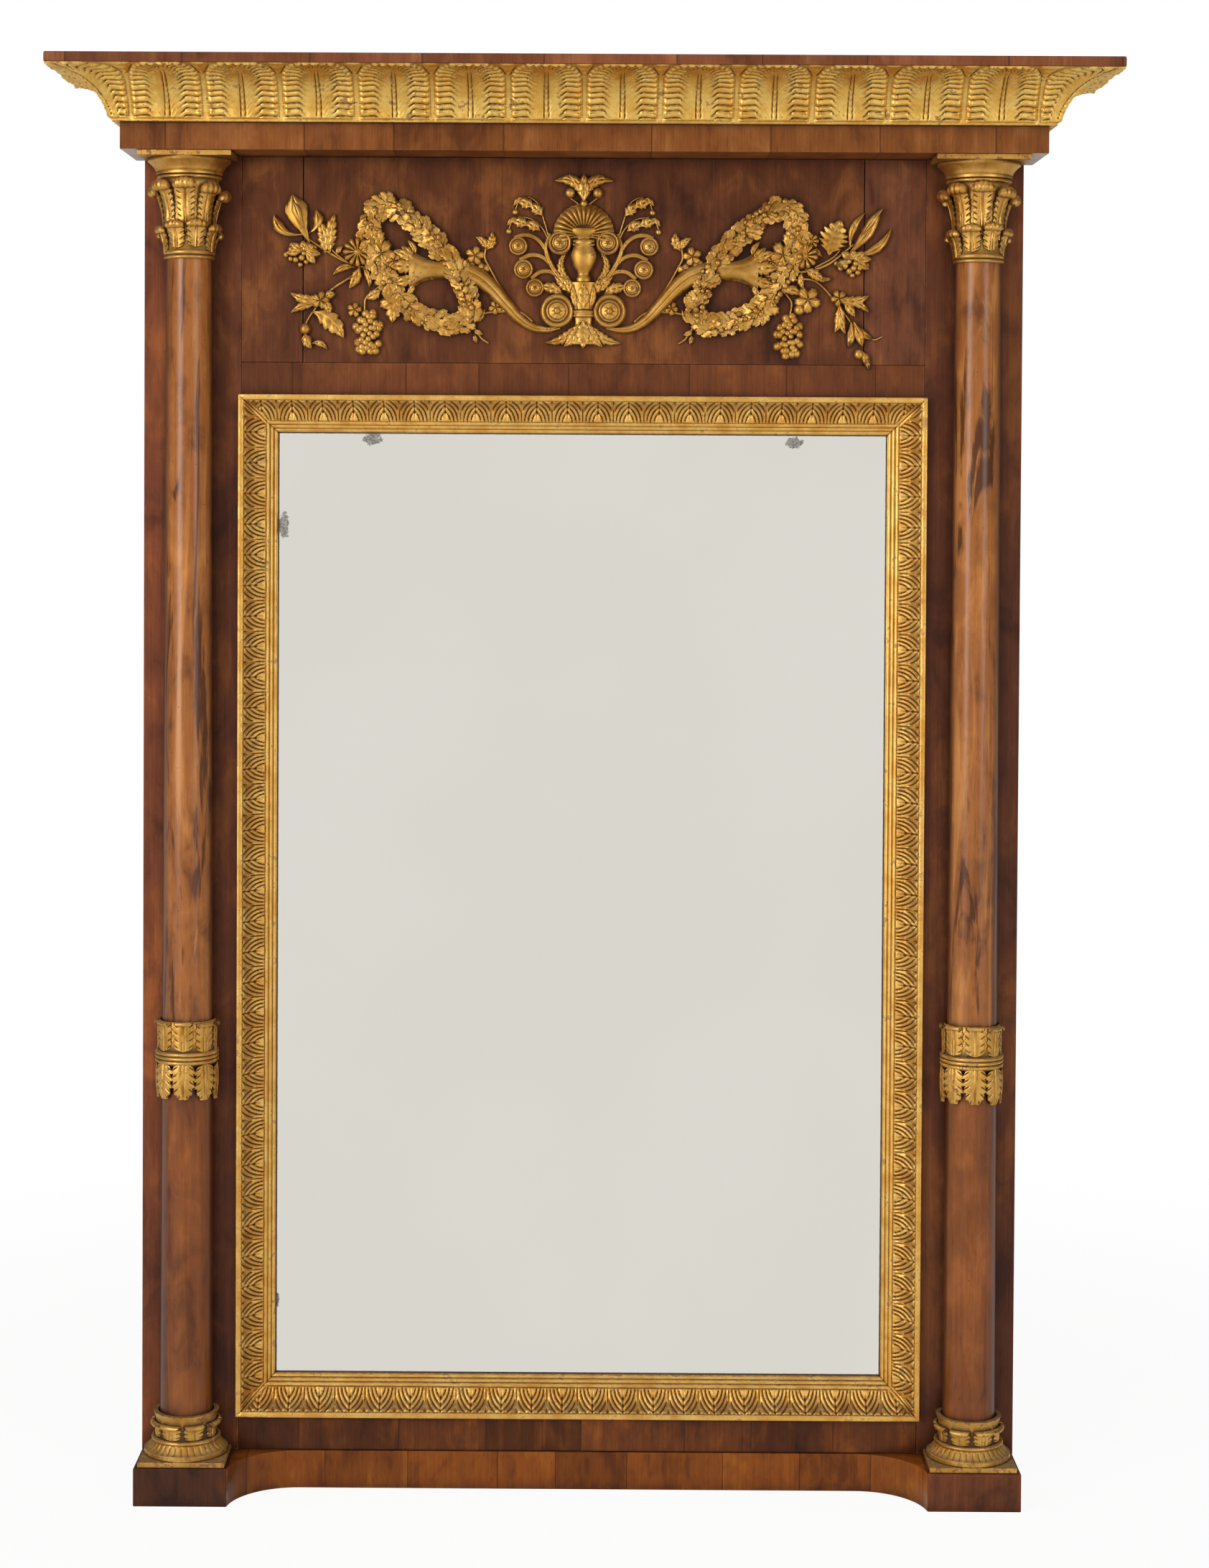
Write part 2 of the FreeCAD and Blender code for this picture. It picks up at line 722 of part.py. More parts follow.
# Gilt moulding
def moulding_section(place):
    """Section from the outer edge inwards: lap, fillet, hollow scoop, reeded beads, lip and rebate."""
    shoulder = moulding_front - moulding_fillet_drop
    scoop_end = moulding_fillet_width + moulding_scoop_width
    scoop_low = shoulder - moulding_scoop_drop
    middle = (
        moulding_fillet_width + moulding_scoop_width / 2 - moulding_scoop_sag / 2,
        (shoulder + scoop_low) / 2 - moulding_scoop_sag)
    bead_width = (moulding_width - scoop_end) / moulding_bead_count
    bead_drop = moulding_bead_drop / moulding_bead_count
    steps = [
        (0, carcass_depth), (0, moulding_front), (moulding_fillet_width, moulding_front),
        (moulding_fillet_width, shoulder), (middle, (scoop_end, scoop_low))]
    for place_count in range(moulding_bead_count):
        left = scoop_end + place_count * bead_width
        level = scoop_low - place_count * bead_drop
        crest = (left + bead_width * bead_crest_share, level - bead_drop * bead_rise_share)
        steps.append((crest, (left + bead_width, level - bead_drop)))
    steps += [
        (moulding_width, plate_front), (moulding_width - rebate_width, plate_front),
        (moulding_width - rebate_width, moulding_back), (moulding_lap + joint_gap, moulding_back)]
    return face_of(place, (moulding_lap + joint_gap, carcass_depth), *steps)


def moulding_side():
    """Right upright, cut to forty-five degrees at both ends."""
    section = moulding_section(lambda across, depth: V(outer_half - across, y_at(depth), outer_base))
    bar = section.extrude(V(0, 0, outer_top - outer_base))
    keep = face_of(
        lambda x, z: V(x, y_at(0), z),
        (outer_half, outer_base), (outer_half, outer_top), (sight_half - overrun, sight_top - overrun),
        (sight_half - overrun, sight_base + overrun))
    spots = [spot for place in range(backboard_count) for spot in nail_spots(place) if spot[0] > 0]
    nails = Part.makeCompound([nail(*spot) for spot in spots])
    return bar.common(keep.extrude(V(0, -overall_depth, 0))).cut(nails)


def moulding_end(outer, inward):
    """Top or bottom member, cut to forty-five degrees at both ends."""
    section = moulding_section(lambda across, depth: V(-outer_half, y_at(depth), outer + inward * across))
    bar = section.extrude(V(2 * outer_half, 0, 0))
    inner = outer + inward * (moulding_width + overrun)
    keep = face_of(
        lambda x, z: V(x, y_at(0), z),
        (-outer_half, outer), (outer_half, outer), (sight_half - overrun, inner),
        (overrun - sight_half, inner))
    return bar.common(keep.extrude(V(0, -overall_depth, 0)))


# Plate and back
def mirror_plate():
    grow = rebate_width - plate_edge_gap
    return block(
        (-sight_half - grow, sight_half + grow), (plate_back, plate_front),
        (sight_base - grow, sight_top + grow))


def backboard(place):
    """One of the pine boards laid across the back of the moulding, with a shrinkage gap between them."""
    base = sight_base - rebate_width - backboard_lap
    top = sight_top + rebate_width + backboard_lap
    height = (top - base) / backboard_count
    reach = sight_half + rebate_width + backboard_lap
    low = base + place * height + shrinkage_gap / 2
    board = block((-reach, reach), (backboard_back, moulding_back), (low, low + height - shrinkage_gap))
    return board.cut(Part.makeCompound([nail(*spot) for spot in nail_spots(place)]))


def nail_spots(place):
    base = sight_base - rebate_width - backboard_lap
    top = sight_top + rebate_width + backboard_lap
    height = (top - base) / backboard_count
    low = base + place * height
    reach = sight_half + rebate_width + backboard_lap - nail_inset
    inset = height * nail_height_share
    ends = (low + inset, low + height - inset)
    return [(side * reach, z) for side in (-1, 1) for z in ends]


def nail(x, z):
    """Wrought nail with a square shank and a low pyramid head."""
    half = nail_width / 2
    shank = block((x - half, x + half), (backboard_back, backboard_back + nail_length), (z - half, z + half))
    head_half = nail_head_width / 2
    rim = face_of(
        lambda across, up: V(x + across, y_at(backboard_back), z + up),
        (-head_half, -head_half), (head_half, -head_half), (head_half, head_half), (-head_half, head_half))
    crown = face_of(
        lambda across, up: V(x + across, y_at(backboard_back - nail_head_height), z + up),
        (-half, -half), (half, -half), (half, half), (-half, half))
    head = Part.makeLoft([rim.OuterWire, crown.OuterWire], True, True)
    return shank.fuse(head).removeSplitter()


def backboard_nails():
    return Part.makeCompound([nail(*spot) for place in range(backboard_count) for spot in nail_spots(place)])


def glass_blocks():
    """Pine blocks glued in the rebate round the plate, between its edge and the moulding."""
    edge = rebate_width - joint_gap
    blocks = []
    height = sight_top - sight_base
    depths = (moulding_back, plate_back)
    for place in range(blocks_per_side):
        z = sight_base + height * (place + 0.5) / blocks_per_side - block_length / 2
        x = (sight_half + edge - block_width, sight_half + edge)
        upright = block(x, depths, (z, z + block_length))
        blocks += [upright, mirrored(upright)]
    for place in range(blocks_per_end):
        x = 2 * sight_half * (place + 0.5) / blocks_per_end - sight_half - block_length / 2
        for z in (sight_base - edge, sight_top + edge - block_width):
            blocks.append(block((x, x + block_length), depths, (z, z + block_width)))
    return Part.makeCompound(blocks)


# Hanging irons
def strap_point(across, out, z):
    return V(strap_x + across, y_at(stile_back - out), z)


def hanger_strap():
    """Iron strap on the back of the stile with a knuckle rolled at its upper end."""
    half = strap_width / 2
    base = strap_top - strap_length
    plate = face_of(
        lambda across, z: strap_point(across, 0, z),
        (-half, base + half), ((0, base), (half, base + half)), (half, strap_top), (-half, strap_top))
    body = plate.extrude(V(0, strap_thickness, 0))
    centre = strap_point(-knuckle_width / 2, knuckle_lift, hinge_height)
    knuckle = Part.makeCylinder(knuckle_radius, knuckle_width, centre, V(1, 0, 0))
    body = body.fuse(knuckle).removeSplitter()
    notch = ring_half_width + 2 * ring_wire_radius
    for side in (-1, 1):
        x = sorted((side * knuckle_width / 2, side * notch))
        depths = (stile_back - strap_thickness - overrun, stile_back + overrun)
        height = (hinge_height - knuckle_radius, strap_top + overrun)
        body = body.cut(block((strap_x + x[0], strap_x + x[1]), depths, height))
    bore = Part.makeCylinder(
        ring_wire_radius + turned_gap, knuckle_width + 2 * overrun, centre - V(overrun, 0, 0), V(1, 0, 0))
    return body.cut(bore).cut(screw_holes())


def hanger_ring():
    """Forged iron loop whose round bar turns in the knuckle; drawn hanging down."""
    half = ring_half_width + ring_wire_radius
    hole = ring_half_width - ring_wire_radius
    foot = hinge_height - ring_arm_length

    def place(across, z):
        return strap_point(across, knuckle_lift - ring_wire_radius, z)

    outer = face_of(
        place, (-half, hinge_height), (-half, foot), ((0, foot - half), (half, foot)), (half, hinge_height))
    inner = face_of(
        place, (-hole, hinge_height), (-hole, foot), ((0, foot - hole), (hole, foot)), (hole, hinge_height))
    thickness = V(0, 2 * ring_wire_radius, 0)
    bow = outer.extrude(thickness).cut(inner.extrude(thickness))
    bar = Part.makeCylinder(
        ring_wire_radius, 2 * half, strap_point(-half, knuckle_lift, hinge_height), V(1, 0, 0))
    return bow.fuse(bar).removeSplitter()


def screw_spots():
    return [strap_point(0, strap_thickness, strap_top - strap_length * share) for share in screw_shares]


def screw_holes():
    inward = V(0, -1, 0)
    return Part.makeCompound(
        [Part.makeCylinder(screw_radius, screw_length, spot, inward) for spot in screw_spots()])


def hanger_screws():
    screws = []
    for spot in screw_spots():
        shank = Part.makeCylinder(screw_radius, screw_length, spot, V(0, -1, 0))
        head = Part.makeCone(screw_head_radius, screw_radius, screw_head_height, spot, V(0, 1, 0))
        screw = shank.fuse(head).removeSplitter()
        screws += [screw, mirrored(screw)]
    return Part.makeCompound(screws)


# Frieze ornament
def on_frieze(x, z):
    return V(x, y_at(carcass_depth), z)


def at_share(across, up):
    return (across * ornament_half_width, frieze_base + up * frieze_height)


def relief(points, thickness):
    """Flat-backed piece of one outline, standing off the frieze."""
    return face_of(on_frieze, *points).extrude(V(0, -thickness, 0))


def boss(centre, radius, thickness):
    return Part.makeCylinder(radius, thickness, on_frieze(*centre), V(0, -1, 0))


def volute(centre, radius):
    """Scroll end: a disc with a raised eye."""
    return boss(centre, radius, ornament_thickness).fuse(boss(centre, radius / 2, rosette_relief))


def curved_strip(start, crest, end, width, thickness):
    """Band of one width along the arc through three places."""
    middle = Part.Arc(on_frieze(*start), on_frieze(*crest), on_frieze(*end)).toShape().Curve
    centre = middle.Center
    points = [on_frieze(*spot) for spot in (start, crest, end)]
    outer = [centre + (point - centre) * (1 + width / 2 / middle.Radius) for point in points]
    inner = [centre + (point - centre) * (1 - width / 2 / middle.Radius) for point in points]
    edges = [
        Part.Arc(*outer).toShape(), Part.makeLine(outer[2], inner[2]), Part.Arc(*reversed(inner)).toShape(),
        Part.makeLine(inner[0], outer[0])]
    return Part.Face(Part.Wire(edges)).extrude(V(0, -thickness, 0))


def leaf_between(shares, spot):
    """Leaf from one place to another, given as shares, with its width as a share of the ornament."""
    root = at_share(*spot[:2])
    tip = at_share(*spot[2:4])
    along = (tip[0] - root[0], tip[1] - root[1])
    length = math.hypot(*along)
    unit = (along[0] / length, along[1] / length)
    points = leaf_points(shares, spot[4] * ornament_half_width, length)
    turned_points = [
        (root[0] + up * unit[0] + across * unit[1], root[1] + up * unit[1] - across * unit[0])
        for across, up in points]
    return relief(turned_points, leaf_relief)


def half_urn():
    """Vase turned in the half round, flat against the frieze."""
    base, top = (frieze_base + share * frieze_height for share in urn_shares)
    belly = base + (top - base) * urn_belly_share
    neck = base + (top - base) * urn_neck_share
    profile = face_of(
        on_frieze, (0, base), (urn_foot_radius, base), (urn_radius, belly), (urn_neck_radius, neck),
        (urn_rim_radius, top), (0, top))
    return profile.revolve(on_frieze(0, 0), V(0, 0, 1), -180)


def shell():
    """Scallop shell: a fan of flutes with a scalloped edge."""
    centre = at_share(0, shell_share)
    step = math.pi / shell_flute_count
    points = [(centre[0] + shell_radius * shell_edge_share, centre[1])]
    for place in range(shell_flute_count):
        crest = (place + 0.5) * step
        valley = (place + 1) * step
        inner = shell_radius * shell_edge_share
        points.append((
            (centre[0] + shell_radius * math.cos(crest), centre[1] + shell_radius * math.sin(crest)),
            (centre[0] + inner * math.cos(valley), centre[1] + inner * math.sin(valley))))
    return relief(points, shell_relief)


def both_sides(points):
    """Outline closed over the middle line from the points of its right half."""
    right = [at_share(*point) for point in points]
    left = [(-x, z) for x, z in reversed(right) if x]
    return right + left


def ornament_centre():
    """Foot, stem, urn, shell and crown on the middle line with volutes, tendrils and sprigs at the sides."""
    pieces = [relief(both_sides(foot_shares), leaf_relief)]
    for shares in (stem_shares, crown_shares):
        pieces.append(relief(both_sides(shares), ornament_thickness))
    pieces += [half_urn(), shell()]
    sides = []
    for across, up, size in volute_shares:
        sides.append(volute(at_share(across, up), size * ornament_half_width))
    for rosette, crest, root in zip(rosette_shares, tendril_crest_shares, tendril_root_shares):
        sides.append(boss(at_share(*rosette), rosette_radius, rosette_relief))
        tip = at_share(*rosette)
        end = (tip[0] + rosette_radius / 2, tip[1])
        sides.append(curved_strip(at_share(*root), at_share(*crest), end, tendril_width, leaf_relief))
    low, high = volute_shares[0][:2], volute_shares[1][:2]
    lyre = [at_share(*share) for share in (high, tendril_root_shares[1], low)]
    sides.append(curved_strip(*lyre, tendril_width, ornament_thickness))
    for root, crest, tip in sprig_shares:
        sides.append(curved_strip(at_share(*root), at_share(*crest), at_share(*tip), sprig_width, leaf_relief))
    pieces += sides + [mirrored(side) for side in sides]
    return fused(pieces)


def horn():
    """Cornucopia: half-round sections growing along its sweep to a flared mouth."""
    places = [at_share(*share) for share in horn_shares]
    rings = []
    for index, (x, z) in enumerate(places):
        before = places[max(index - 1, 0)]
        after = places[min(index + 1, len(places) - 1)]
        along = V(after[0] - before[0], 0, after[1] - before[1]).normalize()
        across = V(-along.z, 0, along.x) * horn_radii[index]
        out = V(0, -horn_radii[index], 0)
        points = []
        for flat in range(horn_flat_count + 1):
            angle = math.pi * flat / horn_flat_count
            points.append(on_frieze(x, z) + across * math.cos(angle) + out * math.sin(angle))
        rings.append(Part.makePolygon(points + points[:1]))
    return Part.makeLoft(rings, True, True)


def wreath(cut):
    """Garland ring of overlapping leaves hung over the horn."""
    centre = at_share(*wreath_centre_share)
    middle = on_frieze(*centre)
    solids = []
    for grow in (wreath_stem_width / 2, -wreath_stem_width / 2):
        oval = Part.Ellipse(V(0, 0, 0), wreath_long_radius + grow, wreath_short_radius + grow)
        solids.append(Part.Face(Part.Wire(oval.toShape())).extrude(V(0, 0, wreath_relief / 2)))
    ring = solids[0].cut(solids[1])
    ring.Placement = FreeCAD.Placement(
        middle, FreeCAD.Rotation(V(1, 0, 0), 90).multiply(FreeCAD.Rotation(V(0, 0, 1), wreath_tilt)))
    leaves = [ring]
    tilt = math.radians(wreath_tilt)
    for place in range(wreath_leaf_count):
        angle = 2 * math.pi * place / wreath_leaf_count
        along = wreath_long_radius * math.cos(angle)
        out = wreath_short_radius * math.sin(angle)
        heading = math.atan2(wreath_short_radius * math.cos(angle), -wreath_long_radius * math.sin(angle))
        lean = math.radians(wreath_leaf_lean) * (1 if place % 2 else -1)
        spot = (
            centre[0] + along * math.cos(tilt) - out * math.sin(tilt),
            centre[1] + along * math.sin(tilt) + out * math.cos(tilt))
        turn = heading + tilt + lean
        points = leaf_points(plain_leaf_shares, wreath_leaf_length / 2, wreath_leaf_length)
        placed = [
            (spot[0] + up * math.cos(turn) + across * math.sin(turn),
             spot[1] + up * math.sin(turn) - across * math.cos(turn)) for across, up in points]
        leaves.append(relief(placed, wreath_relief))
    return without(fused(leaves), cut)


def berry(spot, radius):
    """Round fruit drawn as a six-sided knob."""
    centre = at_share(*spot)
    rings = []
    for size, out in ((radius, 0), (radius, radius / 2), (radius * berry_crown_share, radius)):
        points = [
            (centre[0] + size * math.cos(2 * math.pi * corner / berry_side_count),
             centre[1] + size * math.sin(2 * math.pi * corner / berry_side_count))
            for corner in range(berry_side_count)]
        rings.append(face_of(lambda x, z: V(x, y_at(carcass_depth + out), z), *points).OuterWire)
    return Part.makeLoft(rings, True, True)


def daisy():
    centre = at_share(*daisy_share)
    petals = [boss(centre, daisy_radius / 2, rosette_relief)]
    for place in range(daisy_petal_count):
        angle = 2 * math.pi * place / daisy_petal_count
        spot = (
            centre[0] + math.cos(angle) * daisy_radius * 2 / 3,
            centre[1] + math.sin(angle) * daisy_radius * 2 / 3)
        petals.append(boss(spot, daisy_radius / 3, leaf_relief))
    return petals


def spray(cut):
    """Flowers and leaves spilling from the mouth of the horn."""
    pieces = [leaf_between(cut_leaf_shares, spot) for spot in spray_leaf_shares]
    pieces.append(leaf_between(plain_leaf_shares, lily_shares))
    pieces += [berry(spot, berry_radius) for spot in berry_shares] + daisy()
    return without(fused(pieces), cut)


def fruit(cut):
    """Grapes and drooping leaves under the mouth of the horn."""
    pieces = [leaf_between(cut_leaf_shares, spot) for spot in drop_leaf_shares]
    pieces += [berry(spot, grape_radius) for spot in grape_shares]
    return without(fused(pieces), cut)


# Every piece by name
nodes = {}


def pair(name, shape):
    nodes[name + "_right"] = shape
    nodes[name + "_left"] = mirrored(shape)


pair("stile", stile())
pair("side_board", side_board())
nodes["bottom_rail"] = rail(carcass_base, opening_base)
nodes["frieze_rail"] = rail(opening_top, frieze_base)
board_edge = opening_half - frieze_side_board_width
pair("frieze_board", frieze_board((board_edge + shrinkage_gap / 2, opening_half)))
nodes["frieze_board_centre"] = frieze_board((shrinkage_gap / 2 - board_edge, board_edge - shrinkage_gap / 2))
nodes["frieze_batten"] = frieze_batten()

pair("plinth_block", plinth_block())
nodes["plinth_rail"] = plinth_rail()

nodes["architrave"] = architrave()
nodes["cove_front"] = cove_front()
pair("cove_return", cove_return())
nodes["cornice_top_board"] = cornice_top_board()
nodes["cornice_rail"] = cornice_rail()

pair("base_slab", slab())
pair("column_base", column_base())
pair("shaft_lower", shaft(shaft_base, band_middle_height))
pair("shaft_upper", shaft(band_middle_height, capital_base))
pair("column_band", band())
pair("capital", capital())
pair("abacus", abacus())

pair("moulding", moulding_side())
nodes["moulding_top"] = moulding_end(outer_top, -1)
nodes["moulding_bottom"] = moulding_end(outer_base, 1)
nodes["mirror_plate"] = mirror_plate()
nodes["glass_blocks"] = glass_blocks()
for board_place in range(backboard_count):
    nodes["backboard_%d" % (board_place + 1)] = backboard(board_place)
nodes["backboard_nails"] = backboard_nails()

pair("hanger_strap", hanger_strap())
pair("hanger_ring", hanger_ring())
nodes["hanger_screws"] = hanger_screws()

horn_shape = horn()
wreath_shape = wreath(horn_shape)
spray_shape = spray(fused([horn_shape, wreath_shape]))
fruit_shape = fruit(fused([horn_shape, wreath_shape, spray_shape]))
nodes["ornament_centre"] = without(ornament_centre(), Part.makeCompound([horn_shape, mirrored(horn_shape)]))
pair("cornucopia", horn_shape)
pair("wreath", wreath_shape)
pair("spray", spray_shape)
pair("fruit", fruit_shape)

os.makedirs("parts", exist_ok=True)
for name, shape in nodes.items():
    shape.exportStep("parts/%s.step" % name)
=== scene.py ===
import math

import bmesh
import bpy
import numpy as np
from mathutils import Matrix, Vector


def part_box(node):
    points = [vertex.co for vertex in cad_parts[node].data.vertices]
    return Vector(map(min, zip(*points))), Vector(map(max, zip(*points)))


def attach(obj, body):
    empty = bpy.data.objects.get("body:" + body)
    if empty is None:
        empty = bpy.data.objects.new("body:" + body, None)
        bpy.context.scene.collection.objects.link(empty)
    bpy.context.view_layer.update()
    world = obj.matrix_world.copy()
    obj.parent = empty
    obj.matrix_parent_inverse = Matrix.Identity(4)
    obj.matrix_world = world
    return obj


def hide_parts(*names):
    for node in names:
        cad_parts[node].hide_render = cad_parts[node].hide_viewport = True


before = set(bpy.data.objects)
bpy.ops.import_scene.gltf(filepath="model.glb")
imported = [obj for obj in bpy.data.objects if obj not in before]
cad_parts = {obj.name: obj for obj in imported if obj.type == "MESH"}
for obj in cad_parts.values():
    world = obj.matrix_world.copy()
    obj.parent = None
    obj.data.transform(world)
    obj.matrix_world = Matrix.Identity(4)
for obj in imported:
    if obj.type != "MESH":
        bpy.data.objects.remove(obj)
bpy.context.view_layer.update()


# Carcass
# Pine stiles, side boards, rails and frieze boards, tenoned and glued, faced with figured fruitwood veneer.
# The veneer is French polished, and its arrises have been rounded by two centuries of dusting.
def tone(red, green, blue):
    """A colour from a paint chart, in eight-bit steps, as light levels."""
    levels = [step / 255 for step in (red, green, blue)]
    light = [level / 12.92 if level <= 0.04045 else ((level + 0.055) / 1.055) ** 2.4 for level in levels]
    return light + [1.0]


def add_node(tree, kind, inputs, **settings):
    """A new node with its settings; each input is linked to a socket or set to a value."""
    node = tree.nodes.new(kind)
    for name, value in settings.items():
        setattr(node, name, value)
    for place, value in inputs.items():
        if isinstance(value, bpy.types.NodeSocket):
            tree.links.new(value, node.inputs[place])
        else:
            node.inputs[place].default_value = value
    return node


def maths(tree, operation, first, second=0.0):
    return add_node(tree, "ShaderNodeMath", {0: first, 1: second}, operation=operation).outputs[0]


def vectors(tree, operation, first, second=(0.0, 0.0, 0.0)):
    node = add_node(tree, "ShaderNodeVectorMath", {0: first, 1: second}, operation=operation)
    return node.outputs["Value" if operation == "LENGTH" else "Vector"]


def noise(tree, vector, scale, detail=4.0, roughness=0.55, distortion=0.0):
    inputs = {"Vector": vector, "Scale": scale, "Detail": detail, "Roughness": roughness}
    return add_node(tree, "ShaderNodeTexNoise", {**inputs, "Distortion": distortion}).outputs[0]


def stretched(tree, vector, scale, shift=(0.0, 0.0, 0.0)):
    inputs = {"Vector": vector, "Location": shift, "Scale": scale}
    return add_node(tree, "ShaderNodeMapping", inputs).outputs[0]


def spread(tree, value, low, high, to_low=0.0, to_high=1.0):
    inputs = {0: value, 1: low, 2: high, 3: to_low, 4: to_high}
    return add_node(tree, "ShaderNodeMapRange", inputs, interpolation_type="SMOOTHSTEP").outputs[0]


def mixed(tree, factor, first, second, mode="MIX"):
    inputs = {0: factor, 6: first, 7: second}
    return add_node(tree, "ShaderNodeMix", inputs, data_type="RGBA", blend_type=mode).outputs[2]


def stained(tree, colour, mask, strength, stain):
    """A colour under a stain that is as strong as its mask says."""
    return mixed(tree, maths(tree, "MULTIPLY", mask, strength), colour, tone(*stain))


def axis_of(tree, vector, axis):
    return add_node(tree, "ShaderNodeSeparateXYZ", {0: vector}).outputs[axis]


def new_group(name, inputs, outputs):
    """A shader node group with named sockets; returns its tree, its input sockets and its output node."""
    tree = bpy.data.node_groups.new(name, "ShaderNodeTree")
    for label, kind in inputs:
        tree.interface.new_socket(name=label, in_out="INPUT", socket_type="NodeSocket" + kind)
    for label, kind in outputs:
        tree.interface.new_socket(name=label, in_out="OUTPUT", socket_type="NodeSocket" + kind)
    return tree, tree.nodes.new("NodeGroupInput").outputs, tree.nodes.new("NodeGroupOutput").inputs


def placed_group(tree, group, inputs):
    return add_node(tree, "ShaderNodeGroup", inputs, node_tree=group).outputs


def figure_group():
    """Fruitwood figure with the grain along Z: clouded mottle, drawn-out streaks, fibres and pores."""
    tree, given, made = new_group(
        "Fruitwood Figure",
        (("Vector", "Vector"), ("Dark", "Color"), ("Middle", "Color"), ("Light", "Color"),
         ("Mottle", "Float"), ("Streak", "Float")),
        (("Color", "Color"), ("Height", "Float"), ("Roughness", "Float")))
    vector = given["Vector"]
    broad = noise(tree, stretched(tree, vector, (1.0, 1.0, 0.45)), given["Mottle"], 3.0, 0.5, 0.8)
    cloud = noise(tree, stretched(tree, vector, (4.6, 4.6, 2.3)), given["Mottle"], 5.0, 0.6, 0.5)
    streak = noise(tree, stretched(tree, vector, (1.0, 1.0, 0.045)), given["Streak"], 5.0, 0.6, 0.6)
    fibre = noise(tree, stretched(tree, vector, (1.0, 1.0, 0.02)), 420.0, 3.0, 0.6)
    pore = noise(tree, stretched(tree, vector, (1.0, 1.0, 0.05)), 900.0, 2.0, 0.5)
    clouds = maths(tree, "ADD", maths(tree, "MULTIPLY", broad, 0.40), maths(tree, "MULTIPLY", cloud, 0.44))
    figure = maths(tree, "ADD", clouds, maths(tree, "MULTIPLY", streak, 0.16))
    deep = mixed(tree, spread(tree, figure, 0.37, 0.50), given["Dark"], given["Middle"])
    bright = mixed(tree, spread(tree, figure, 0.49, 0.63), deep, given["Light"])
    lines = mixed(tree, spread(tree, fibre, 0.35, 0.65), (0.90, 0.89, 0.88, 1.0), (1.06, 1.06, 1.06, 1.0))
    fine = mixed(tree, 1.0, bright, lines, "MULTIPLY")
    dots = spread(tree, pore, 0.62, 0.72)
    tree.links.new(stained(tree, fine, dots, 0.35, (38, 18, 10)), made["Color"])
    tree.links.new(maths(tree, "SUBTRACT", maths(tree, "MULTIPLY", fibre, 0.4), dots), made["Height"])
    tree.links.new(spread(tree, cloud, 0.3, 0.7, 0.30, 0.44), made["Roughness"])
    return tree


def shade_and_grime_group():
    """Painted shade with dust and old polish in corners and recesses, found by ambient occlusion, and pale
    scuffs on the open arrises.
    """
    tree, given, made = new_group(
        "Corner Grime", (("Vector", "Vector"), ("Reach", "Float")), (("ShadeAndGrime", "Float"), ("Scuff", "Float")))
    # painted shade: ambient occlusion darkens corners and recesses, broken up by patches of dust
    inside = add_node(tree, "ShaderNodeAmbientOcclusion", {"Distance": given["Reach"]}, samples=6)
    patchy = noise(tree, given["Vector"], 55.0, 4.0, 0.6)
    shade = spread(tree, inside.outputs["AO"], 0.95, 0.35)
    tree.links.new(maths(tree, "MULTIPLY", shade, spread(tree, patchy, 0.25, 0.6, 0.55, 1.0)), made["ShadeAndGrime"])
    outside = add_node(tree, "ShaderNodeAmbientOcclusion", {"Distance": 0.0035}, samples=6, inside=True)
    open_edge = spread(tree, outside.outputs["AO"], 0.75, 0.45)
    tree.links.new(maths(tree, "MULTIPLY", open_edge, spread(tree, patchy, 0.48, 0.62)), made["Scuff"])
    return tree


def banding_group():
    """Cross-banding: short lengths of veneer side by side along X, each its own shade, with glue lines."""
    tree, given, made = new_group(
        "Cross Banding",
        (("Vector", "Vector"), ("Pitch", "Float")),
        (("Shade", "Float"), ("Joint", "Float")))
    count = maths(tree, "DIVIDE", axis_of(tree, given["Vector"], 0), given["Pitch"])
    inputs = {"W": count, "Scale": 1.0, "Randomness": 0.55}
    cell = add_node(tree, "ShaderNodeTexVoronoi", inputs, voronoi_dimensions="1D", feature="F1").outputs
    line = add_node(
        tree, "ShaderNodeTexVoronoi", inputs, voronoi_dimensions="1D", feature="DISTANCE_TO_EDGE").outputs
    tree.links.new(add_node(tree, "ShaderNodeSeparateColor", {0: cell["Color"]}).outputs[0], made["Shade"])
    tree.links.new(spread(tree, line["Distance"], 0.010, 0.004), made["Joint"])
    return tree


fruitwood_figure = figure_group()
corner_shade_and_grime = shade_and_grime_group()
cross_banding = banding_group()


def bare_behind(tree, place, colour):
    """Faces turned to the wall were never finished: sawn wood there, with the share that is bare."""
    facing = add_node(tree, "ShaderNodeNewGeometry", {}).outputs["Normal"]
    wallward = spread(tree, axis_of(tree, facing, 1), 0.6, 0.9)
    bare = maths(tree, "MULTIPLY", wallward, spread(tree, axis_of(tree, place, 1), 0.056, 0.060))
    sawn = noise(tree, stretched(tree, place, (1.0, 1.0, 0.05)), 150.0, 4.0, 0.6)
    wood = mixed(tree, spread(tree, sawn, 0.35, 0.65), tone(104, 70, 44), tone(146, 104, 68))
    return mixed(tree, bare, colour, wood), bare


def new_finish(name):
    """An empty material: itself, its tree, its surface shader and the place on the object."""
    material = bpy.data.materials.new(name)
    material.use_nodes = True
    tree = material.node_tree
    place = add_node(tree, "ShaderNodeTexCoord", {}).outputs["Object"]
    return material, tree, tree.nodes["Principled BSDF"], place


def bumped(tree, surface, height, strength, distance):
    bump = add_node(tree, "ShaderNodeBump", {"Strength": strength, "Distance": distance, "Height": height})
    tree.links.new(bump.outputs[0], surface.inputs["Normal"])


sawn_roughness = 0.78


